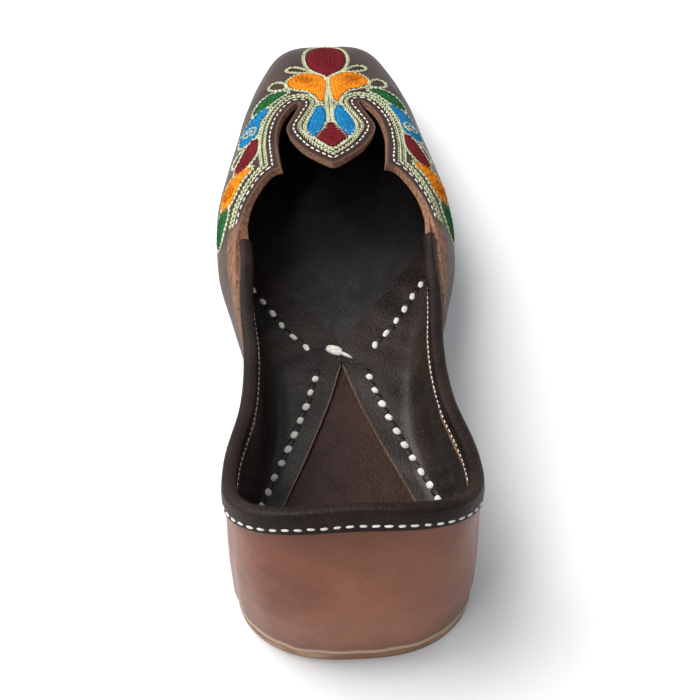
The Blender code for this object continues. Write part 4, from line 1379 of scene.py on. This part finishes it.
def lobes(track, at, turnBy, aside, size):
    """Rounded stitches along a track: at is the length along it, size the half length, half width and height.

    Each lobe is a ring-and-pole ellipsoid, turned about the normal by an angle and moved aside.
    """
    length = np.concatenate([[0], np.cumsum(np.linalg.norm(np.diff(track.point, axis=0), axis=1))])
    values = np.hstack([track.point, track.tangent, track.normal])
    here = np.column_stack([np.interp(at, length, values[:, i]) for i in range(9)])
    point, tangent, normal = here[:, :3], here[:, 3:6], here[:, 6:]
    normal /= np.linalg.norm(normal, axis=1)[:, None]
    tangent -= normal * (tangent * normal).sum(axis=1)[:, None]
    tangent /= np.linalg.norm(tangent, axis=1)[:, None]
    side = np.cross(normal, tangent)
    count = len(at)
    turnBy, aside = np.broadcast_to(turnBy, count), np.broadcast_to(aside, count)
    halfLength, halfWidth, height = (np.broadcast_to(part, count) for part in size)
    ahead = tangent * np.cos(turnBy)[:, None] + side * np.sin(turnBy)[:, None]
    across = side * np.cos(turnBy)[:, None] - tangent * np.sin(turnBy)[:, None]
    ring = np.linspace(0, 2 * np.pi, lobeLook["around"] + 1)[:-1]
    along = np.linspace(-1, 1, lobeLook["along"])
    girth = np.sqrt(np.clip(1 - np.abs(along) ** lobeLook["blunt"], 0, 1)) + lobeLook["tip"]
    u = np.repeat(along, len(ring))
    v = (girth[:, None] * np.cos(ring)).ravel()
    w = (girth[:, None] * np.sin(ring)).ravel() - lobeLook["sink"]
    base = point + side * aside[:, None]
    points = (base[:, None]
              + ahead[:, None] * (u[None] * halfLength[:, None])[..., None]
              + across[:, None] * (v[None] * halfWidth[:, None])[..., None]
              + normal[:, None] * (w[None] * height[:, None])[..., None])
    faces = gridFaces(len(along), len(ring), closed=True)
    caps = [list(range(len(ring)))[::-1], list(range(len(u) - len(ring), len(u)))]
    return points.reshape(-1, 3), faces, caps, count, len(u)


chainLook = {"lean": 0.40, "apart": 0.42, "length": 0.56, "width": 0.29, "height": 0.40}


class Stitching:
    """Stitches of one thread, gathered and then made into one mesh."""

    def __init__(self, name, material, slot="upper_leather"):
        self.name, self.material, self.slot = name, material, slot
        self.points, self.faces, self.total = [], [], 0

    def add(self, *arguments):
        """Adds lobes, given as to the function of that name."""
        points, faces, caps, count, size = lobes(*arguments)
        start = self.total + np.arange(count)[:, None, None] * size
        self.faces += (start + faces[None]).reshape(-1, 4).tolist()
        for cap in caps:
            self.faces += (start[:, 0] + np.array(cap)[None]).tolist()
        self.points.append(points)
        self.total += len(points)

    def chain(self, track, pitch, width, jitter, seed=1):
        """A row of chain stitch: pairs of lobes that lean together like an ear of wheat."""
        length = np.linalg.norm(np.diff(track.point, axis=0), axis=1).sum()
        count = int(length / (pitch * mm))
        if count < 1:
            return
        chance = np.random.default_rng(seed + count)
        at = (np.arange(count) + 0.5) * length / count
        for side in (-1, 1):
            sway = chance.normal(0, jitter, (3, count))
            size = (chainLook["length"] * pitch * mm, (chainLook["width"] + 0.2 * sway[2]) * width * mm,
                    chainLook["height"] * mm)
            lean = side * (sway[1] - chainLook["lean"])
            self.add(track, at + sway[0] * pitch * mm, lean, side * chainLook["apart"] * width * mm, size)

    def running(self, track, pitch, long, wide, high, jitter, lean=0, start=0.5):
        """A row of single stitches with gaps between them."""
        length = np.linalg.norm(np.diff(track.point, axis=0), axis=1).sum()
        count = int(length / (pitch * mm))
        chance = np.random.default_rng(1 + count)
        at = (np.arange(count) + start) * length / count
        sway = chance.normal(0, jitter, (3, count))
        size = (long / 2 * mm * (1 + sway[0]), wide / 2 * mm * (1 + sway[2]), high * mm)
        self.add(track, at + sway[0] * mm, lean + sway[1], sway[2] * mm, size)

    def make(self):
        """Makes the mesh of all the stitches that were added."""
        points = np.vstack(self.points)
        piece = makeMesh(self.name, points, self.faces, [self.material])
        print(self.name, len(self.faces))


# The embroidery, charted on the right half of the flat pattern in millimetres: x out from the centre
# line, y forward from the heel. Each motif is filled with rows of chain stitch that follow its outline.
Motif = namedtuple("Motif", "thread outline")
motifs = (
    Motif("orange", ((1.3, 238), (3.2, 242.6), (8, 245.2), (12.8, 243.4), (15.6, 238), (14.6, 232.8),
                     (11, 229.6), (7.4, 227.6), (5.2, 223.6), (2.9, 217.0), (1.7, 224), (1.1, 232))),
    Motif("green", ((16.5, 228.2), (20.5, 229.9), (25.2, 228.2), (28.8, 224.6), (30.6, 219.8), (28, 218.8),
                    (24, 221.2), (20, 224.8))),
    Motif("blue", ((24.0, 218.4), (29, 217.5), (33.6, 213.6), (37.6, 208), (37.8, 202.6), (34.2, 199.6),
                   (29.8, 200.8), (28.2, 205.2), (27.6, 209.5), (25.4, 213.6))),
    Motif("red", ((29.3, 198.7), (32.9, 196.7), (36.6, 191.5), (39.2, 185.6), (38.6, 180), (35.2, 180),
                  (30.9, 184.5), (29.0, 190))),
    Motif("orange", ((31.5, 177.8), (36, 180.2), (41.5, 180.6), (46, 177.2), (48.6, 171.8), (47.2, 166.6),
                     (42.6, 166.0), (38.8, 169.6), (36.2, 173.4))),
    Motif("green", ((44.4, 164.9), (48.6, 167.4), (53.2, 165), (55.6, 159), (54.2, 154.4), (50, 154.0),
                    (46.8, 157.4), (44.6, 161))),
    Motif("blue", ((3.7, 213.5), (5.7, 208), (7.9, 200), (8.5, 193), (6.6, 188.2), (4.6, 191.5), (2.6, 198),
                   (1.9, 206))),
)

# Shapes on the centre line, each by its right half
redHeart = ((0, 242.5), (3.2, 246.4), (6.2, 251.6), (7.5, 258), (7.7, 265), (6.8, 271.2), (4.4, 275.8),
            (1.5, 278.0))
redDiamond = ((0, 198.5), (2.7, 192.6), (5.6, 188.0), (2.9, 183.4), (0, 180.0))
heartLine = ((0, 240.2), (3.8, 244.6), (7.4, 250.2), (9.2, 257.4), (9.5, 265), (8.5, 272.6), (5.8, 278.2),
             (0, 281.2))

# Spirals over the lobes, with the height of their thread and the width of its stitches
Spiral = namedtuple("Spiral", "thread x y radius height width")
spirals = (
    Spiral("orange", x=10.2, y=238.2, radius=3.6, height=1.0, width=0.7),
    Spiral("pale", x=32.6, y=205.6, radius=3.9, height=0.72, width=0.42),
    Spiral("orange", x=43.4, y=172.3, radius=3.7, height=1.0, width=0.7),
)
loops = (
    ((6.4, 246.8), (9.0, 250.4), (12, 253.4), (15.2, 254.4), (16.8, 252.4), (15.6, 249.4), (12, 247.4),
     (9.0, 246.6), (6.4, 246.8)),
    ((16.4, 231.8), (16.8, 235.6), (18.6, 238.8), (21.4, 240.6), (23.8, 238.8), (23.6, 235.2), (20.8, 232.4),
     (16.4, 231.8)),
    ((35.6, 196.8), (39.2, 197.0), (42.8, 193.8), (42.0, 189.6), (39.6, 189.2), (37.2, 192.6), (35.6, 196.8)),
)
embroideryLook = {
    "rowGap": 1.55, "firstRow": 0.55, "mostRows": 12, "fillPitch": 2.1, "fillHeight": 0.30, "fillStep": 0.12,
    "fillWidth": 1.35, "outlineOut": 1.15, "diamondOut": 1.2, "pairPitch": 1.85, "pairWidth": 0.82,
    "stemWidth": 0.9, "over": 0.12, "moundHeight": 0.42, "moundEdge": 1.3, "moundFoot": 0.04,
    "spiralTurns": 1.7, "spiralPitch": 1.6, "stemApart": 0.85, "stem": (241, 200.5),
}
tuft = ((-2.2, 281.2), (0, 283.4), (2.2, 281.2))
lineStep = 0.3 * mm


def signedArea(line):
    """Twice the area inside a closed line, over 0 where the line runs anticlockwise."""
    return (line[:-1, 0] * line[1:, 1] - line[1:, 0] * line[:-1, 1]).sum()


def wholeShape(outline):
    """A shape that lies on the centre line, from its right half."""
    right = np.array(outline)
    left = right[::-1] * [-1, 1]
    return np.vstack([right, left[left[:, 0] < 0]])


def layFill(stitching, outline, mirror, seed):
    """Rows of chain stitch that follow an outline inward until the shape is full."""
    look = embroideryLook
    line = curveOf(outline, 0.3, closed=True)
    if signedArea(line) < 0:
        line = line[::-1]
    for number in range(look["mostRows"]):
        runs = shifted(line, (look["firstRow"] + number * look["rowGap"]) * mm, closed=True)
        for run in runs:
            high = look["fillHeight"] + look["fillStep"] * min(number, 2)
            track = flatTrack(run, high * mm, mirror)
            stitching.chain(track, look["fillPitch"], look["fillWidth"], 0.08, seed + number)
        if not runs:
            return


def makeMound(outline, mirror):
    """A low swelling of thread under a motif's stitches: a quarter round near its outline, level inside."""
    line = curveOf(outline, 0.6, closed=True)[:-1]
    grid = hexGrid(line.min(axis=0), line.max(axis=0), 1.0 * mm)
    grid = grid[inside(line, grid)]
    grid = grid[distanceTo(line, grid) > 0.4 * mm]
    flat = np.vstack([line, grid])
    ring = list(zip(range(len(line)), list(range(1, len(line))) + [0]))
    triangles = triangulate(flat, ring, line)
    away = distanceTo(line, flat)
    away[: len(line)] = 0
    near = 1 - np.clip(away / (embroideryLook["moundEdge"] * mm), 0, 1)
    height = embroideryLook["moundHeight"] * mm * np.sqrt(1 - near**2) + embroideryLook["moundFoot"] * mm
    flat = flat * [mirror, 1]
    points = layFlat(flat, vampOffset(flat) + height)
    return points, triangles if mirror > 0 else triangles[:, ::-1], away


Ground = namedtuple("Ground", "points faces away")


def makeEmbroidery():
    """All filled motifs, their pale outlines and the rows of chain stitch along the throat."""
    look = embroideryLook
    over = look["over"] * mm
    fills = {key: Stitching(f"{key}_embroidery", threads[key]) for key in ("red", "orange", "blue", "green")}
    grounds = {key: Ground([], [], []) for key in fills}
    pale = Stitching("pale_chain_stitches", threads["pale"])

    def fill(key, outline, mirror, seed):
        points, faces, away = makeMound(outline, mirror)
        ground = grounds[key]
        ground.faces.append(faces + sum(len(part) for part in ground.points))
        ground.points.append(points)
        ground.away.append(away)
        layFill(fills[key], outline, mirror, seed)

    def outlineOf(outline, closed, mirror, out):
        line = curveOf(outline, 0.3, closed=closed)
        if closed and signedArea(line) > 0:
            line = line[::-1]
        for run in (shifted(line, out * mm, closed) if out else [line]):
            pale.chain(flatTrack(run, over, mirror), look["pairPitch"], look["pairWidth"], 0.06)

    for mirror in (1, -1):
        for number, motif in enumerate(motifs):
            fill(motif.thread, motif.outline, mirror, number * 20)
            outlineOf(motif.outline, True, mirror, look["outlineOut"])
        for loop in loops:
            outlineOf(loop, False, mirror, 0)
        for row in spirals:
            turn = np.linspace(0, 2 * np.pi * look["spiralTurns"], 60)
            reach = row.radius * (0.18 + 0.82 * turn / turn[-1])
            spiral = np.column_stack([row.x + reach * np.cos(turn), row.y + reach * np.sin(turn)]) * mm
            track = flatTrack(evenLine(spiral, lineStep), row.height * mm, mirror)
            {**fills, "pale": pale}[row.thread].chain(track, look["spiralPitch"], row.width, 0.05)
    for outline in (redHeart, redDiamond):
        fill("red", wholeShape(outline), 1, 300)
    outlineOf(wholeShape(heartLine), True, 1, 0)
    outlineOf(wholeShape(redDiamond), True, 1, look["diamondOut"])
    crest = evenLine(np.array(tuft) * mm, lineStep)
    pale.chain(flatTrack(crest, 0.2 * mm), look["spiralPitch"], look["stemWidth"], 0.1)
    for x in (-look["stemApart"], look["stemApart"]):
        stem = np.column_stack([np.full(40, x), np.linspace(*look["stem"], 40)]) * mm
        pale.chain(flatTrack(evenLine(stem, lineStep), over), look["pairPitch"], look["stemWidth"], 0.05)
    for key, ground in grounds.items():
        points, faces = np.vstack(ground.points), np.vstack(ground.faces).tolist()
        values = {"row": np.concatenate(ground.away)}
        piece = makeMesh(f"{key}_thread_ground", points, faces, [threads[key]], values=values)
    for stitching in fills.values():
        stitching.make()
    makeThroatRows(pale)
    pale.make()


throatLook = {
    "white": 2.7, "rows": (4.9, 6.9), "from": 148.5, "fewest": 8,
    "pitch": 3.1, "long": 2.15, "wide": 0.68, "high": 0.30, "over": 0.16,
}
vampBox = {"across": 130, "back": 140, "front": 320}


def wholeThroat():
    """The vamp's free edge from the right wing round the tongue to the left one."""
    right = evenLine(throatLine(0.5 * mm), 0.4 * mm)
    left = right[::-1] * [-1, 1]
    return np.vstack([right, left[1:]])


def makeThroatRows(pale):
    """Pale chain rows and the white running stitches, each at its distance from the vamp's free edge."""
    look = throatLook
    edge = wholeThroat()
    white = Stitching("white_edge_stitches", threads["white"])
    for distance in (look["white"], *look["rows"]):
        for side in (-1, 1):
            runs = shifted(edge, side * distance * mm)
            runs = [run for run in runs if inside(vampZone, run[len(run) // 2:len(run) // 2 + 1])[0]]
            for run in runs:
                run = run[run[:, 1] > look["from"] * mm]
                if len(run) < look["fewest"]:
                    continue
                if distance == look["white"]:
                    track = flatTrack(run, look["over"] * mm)
                    white.running(track, look["pitch"], look["long"], look["wide"], look["high"], 0.07)
                else:
                    track = flatTrack(run, embroideryLook["over"] * mm)
                    pale.chain(track, embroideryLook["pairPitch"], embroideryLook["pairWidth"], 0.05)
    white.make()


def makeVampZone():
    """The outline of the whole vamp on the flat pattern: its free edge, closed by a box round the toe."""
    across, back, front = (vampBox[key] * mm for key in ("across", "back", "front"))
    return np.vstack([wholeThroat(), [[-across, back], [-across, front], [across, front], [across, back]]])


vampZone = makeVampZone()
makeEmbroidery()
print("embroidery made")


# The binding's stitches and the thick stitches of the lining


def upTrack(turns, up, offset, side, facing=1):
    """A line given by turns and lengths up the section as places, directions and normals, out or in."""
    point = layUp(turns, up, offset, side)
    over = layUp(turns, up, offset + facing * normalStep, side)
    return trackOf(point, (over - point) / normalStep)


def joined(right, left):
    """Two tracks that meet at the back seam as one."""
    back = Track(left.point[::-1][1:], -left.tangent[::-1][1:], left.normal[::-1][1:])
    return Track(*(np.vstack(pair) for pair in zip(right, back)))


outerStitchLook = {
    "front": 46, "step": 0.8, "over": 0.12, "drop": 2.0, "wave": 0.5, "waveLength": 8, "calm": 20,
    "pitch": 3.55, "long": 2.5, "wide": 0.95, "high": 0.42,
}
innerStitchLook = {
    "front": 140, "back": 22, "step": 0.6, "over": 0.1, "fromEdge": 1.3,
    "pitch": 2.3, "long": 1.7, "wide": {1: 0.75, -1: 0.55}, "high": 0.34,
}


def makeBindingStitches():
    """White stitches round the outside of the binding, and finer ones along its inner edge."""
    outside = Stitching("binding_outer_stitches", threads["white"], "binding_leather")
    inner = Stitching("binding_inner_stitches", threads["white"], "binding_leather")
    look = outerStitchLook
    turns = turnsByStep(turnAt(look["front"] * mm), backSeam, look["step"] * mm)
    y = rays(turns).y
    wave = look["wave"] * mm * np.sin(y / (look["waveLength"] * mm)) * ease(0, look["calm"] * mm, y)
    line = rimUp(turns) - (outsideLeg(turns) - look["drop"] * mm + wave)
    over = bindingGap + bindingWall + look["over"] * mm
    ring = joined(*(upTrack(turns, line, over, side) for side in (1, -1)))
    outside.running(ring, look["pitch"], look["long"], look["wide"], look["high"], 0.06)
    outside.make()
    look = innerStitchLook
    turns = turnsByStep(turnAt(look["front"] * mm), turnAt(look["back"] * mm), look["step"] * mm)
    line = rimUp(turns) - bindingInside + look["fromEdge"] * mm
    under = -upperWall - bindingGap - bindingWall - look["over"] * mm
    for side in (1, -1):
        track = upTrack(turns, line, under, side, -1)
        inner.running(track, look["pitch"], look["long"], look["wide"][side], look["high"], 0.09, side * 0.15)
    inner.make()


# The front stitches of the lining curve away from its raw edge: a distance for each place, in millimetres.
liningStitchLook = {
    "rear": {"along": (24, 109), "long": 3.4, "wide": 2.9, "pitch": 6.2},
    "front": {"along": (117, 163), "long": 4.5, "wide": 2.4, "pitch": 6.2 * 1.1},
    "fromEdge": 7.6, "lean": 0.2, "high": 0.7,
    "frontPlaces": (117, 122, 129, 136, 145, 160), "frontFromEdge": (9.8, 12.6, 14.6, 13.5, 12, 10.4),
    "pucker": {"long": 3.8, "wide": 2.9, "high": 0.30},
}


def liningTrack(side, part):
    """A line on the inner face of a lining half, at a length from its flap's raw edge."""
    turns, grid, normals = liningGrids[side]
    y = rays(turns).y
    low, high = (value * mm for value in liningStitchLook[part]["along"])
    points, ups = [], []
    for row in np.flatnonzero((y >= low) & (y <= high)):
        fromEdge = liningStitchLook["fromEdge"] * mm
        if part == "front":
            at, away = liningStitchLook["frontPlaces"], liningStitchLook["frontFromEdge"]
            fromEdge = np.interp(y[row] / mm, at, away) * mm
        profile = grid[row, ::-1]
        length = np.concatenate([[0], np.cumsum(np.linalg.norm(np.diff(profile, axis=0), axis=1))])
        values = np.hstack([profile, normals[row, ::-1]])
        here = [np.interp(fromEdge, length, values[:, i]) for i in range(6)]
        points.append(here[:3])
        ups.append(here[3:])
    return trackOf(np.array(points), np.array(ups))


def makeLiningStitches():
    """Thick white stitches along the flaps, with a pucker of leather between each two, darkened as painted
    shade.
    """
    thick = Stitching("thick_lining_stitches", threads["white"], "lining_leather")
    puckers = Stitching("lining_puckers", leathers["puckers"], "lining_leather")
    pucker = liningStitchLook["pucker"]
    for side in (1, -1):
        lean = side * liningStitchLook["lean"]
        for part in ("rear", "front"):
            look = liningStitchLook[part]
            track = liningTrack(side, part)
            high = liningStitchLook["high"]
            thick.running(track, look["pitch"], look["long"], look["wide"], high, 0.08, lean)
            puckers.running(track, look["pitch"], pucker["long"], pucker["wide"], pucker["high"], 0.08, lean,
                            start=0.02)
    puckers.make()
    thick.make()


# The knot's strands: their place along it, their turn, how far aside they lie and their half sizes
Strand = namedtuple("Strand", "at turnBy aside long wide high")
strands = (
    Strand(at=3.2, turnBy=0.15, aside=0.9, long=3.0, wide=1.5, high=0.9),
    Strand(at=3.6, turnBy=-0.1, aside=-0.7, long=2.9, wide=1.2, high=0.8),
    Strand(at=7.6, turnBy=-0.12, aside=-0.1, long=3.6, wide=0.8, high=0.7),
    Strand(at=2.4, turnBy=0.5, aside=0.2, long=2.0, wide=1.2, high=0.6),
)
knotLook = {"across": (-5.6, 4.4), "along": (3.2, -2.2), "over": 0.55, "points": 30}


def makeKnot():
    """The white knot where the flaps meet, a few thick strands on a short slanting line."""
    knot = Stitching("thread_knot", threads["white"], "lining_leather")
    count = knotLook["points"]
    y = (knotBack + knotFront) / 2 + np.linspace(*knotLook["along"], count) * mm
    x = np.linspace(*knotLook["across"], count) * mm
    z = lift(y) + floorTop + liningWall + knotLook["over"] * mm
    track = trackOf(np.column_stack([x, y - middle, z]), np.tile([0, 0, 1.0], (count, 1)))
    for row in strands:
        size = (row.long * mm, row.wide * mm, row.high * mm)
        knot.add(track, np.array([row.at * mm]), row.turnBy, row.aside * mm, size)
    knot.make()


vampInsideLook = {
    "along": (150, 172), "under": 9.0, "over": 0.1, "pitch": 5.4, "long": 2.6, "wide": 1.8, "high": 0.5,
}


def makeVampInsideStitches():
    """White stitches on the flesh side of the vamp, ahead of the linings."""
    look = vampInsideLook
    wall = Stitching("vamp_inside_stitches", threads["white"], "upper_leather")
    turns = turnAt(np.linspace(*look["along"], 60) * mm)
    line = rimUp(turns) - look["under"] * mm
    for side in (1, -1):
        track = upTrack(turns, line, -upperWall - look["over"] * mm, side, -1)
        wall.running(track, look["pitch"], look["long"], look["wide"], look["high"], 0.08)
    wall.make()


makeBindingStitches()
makeLiningStitches()
makeKnot()
makeVampInsideStitches()
print("stitches made")


# Materials of the layers that keep their solids, the stage, the lights and the camera


def repaint(node, material):
    """Gives a solid that is shown as it is another material."""
    for thing in bpy.data.objects:
        if thing.type == "MESH" and thing.name.split(".")[0] == node:
            thing.data.materials.clear()
            thing.data.materials.append(material)


repaint("insole_forepart", leathers["forepart"])
repaint("insole_heel", leathers["heelSeat"])


stageLook = {
    "floorReach": 6.0, "floorColour": (0.78, 0.79, 0.80), "floorRoughness": 0.75,
    "sky": (0.86, 0.88, 0.92, 1), "skyStrength": 0.48, "aim": (0, 0, 0.03),
}
Lamp = namedtuple("Lamp", "name power place size colour")
lamps = (
    Lamp("key light", power=19, place=(-0.5, 0.25, 0.95), size=0.9, colour=(1.0, 0.985, 0.96)),
    Lamp("fill light", power=1.8, place=(0.9, 0.35, 0.7), size=0.9, colour=(0.94, 0.97, 1.0)),
    Lamp("back light", power=6.0, place=(-0.75, -0.85, 0.5), size=0.6, colour=(1.0, 0.99, 0.97)),
)

# The camera was fitted to the photo's outline of the sole and of the topline.
photoCamera = {
    "place": (-0.011243, -0.349541, 0.365148), "forward": (0.03019358, 0.67428954, -0.73784955),
    "roll": -0.235, "lens": 69.3, "sensor": 36,
}


def makeFloor():
    """A plain pale floor, wide enough for every view."""
    mesh = bpy.data.meshes.new("floor")
    reach = stageLook["floorReach"]
    corners = [(-reach, -reach, 0), (reach, -reach, 0), (reach, reach, 0), (-reach, reach, 0)]
    mesh.from_pydata(corners, [], [(0, 1, 2, 3)])
    mesh.materials.append(Paint("pale floor").finish(stageLook["floorColour"], stageLook["floorRoughness"]))
    floor = bpy.data.objects.new("floor", mesh)
    bpy.context.scene.collection.objects.link(floor)
    return floor


def makeLamps():
    """The area lamps, each turned to the shoe, and a pale sky."""
    for row in lamps:
        lamp = bpy.data.lights.new(row.name, "AREA")
        lamp.energy = row.power
        lamp.size = row.size
        lamp.color = row.colour
        thing = bpy.data.objects.new(row.name, lamp)
        thing.location = row.place
        towards = Vector(stageLook["aim"]) - Vector(row.place)
        thing.rotation_euler = towards.to_track_quat("-Z", "Y").to_euler()
        bpy.context.scene.collection.objects.link(thing)
    world = bpy.data.worlds.new("studio")
    world.use_nodes = True
    sky = world.node_tree.nodes["Background"].inputs
    sky["Color"].default_value = stageLook["sky"]
    sky["Strength"].default_value = stageLook["skyStrength"]
    bpy.context.scene.world = world
    bpy.context.scene.view_settings.view_transform = "Standard"


def makeCamera():
    """The photo's camera: its place, its view direction, its small roll and its lens."""
    camera = bpy.data.cameras.new("photo camera")
    camera.lens = photoCamera["lens"]
    camera.sensor_width = photoCamera["sensor"]
    camera.clip_start = 0.01
    thing = bpy.data.objects.new("photo camera", camera)
    turned = Vector(photoCamera["forward"]).to_track_quat("-Z", "Y")
    thing.rotation_mode = "QUATERNION"
    thing.rotation_quaternion = turned @ Quaternion((0, 0, 1), np.radians(photoCamera["roll"]))
    thing.location = photoCamera["place"]
    bpy.context.scene.collection.objects.link(thing)
    bpy.context.scene.camera = thing


makeFloor()
makeLamps()
makeCamera()
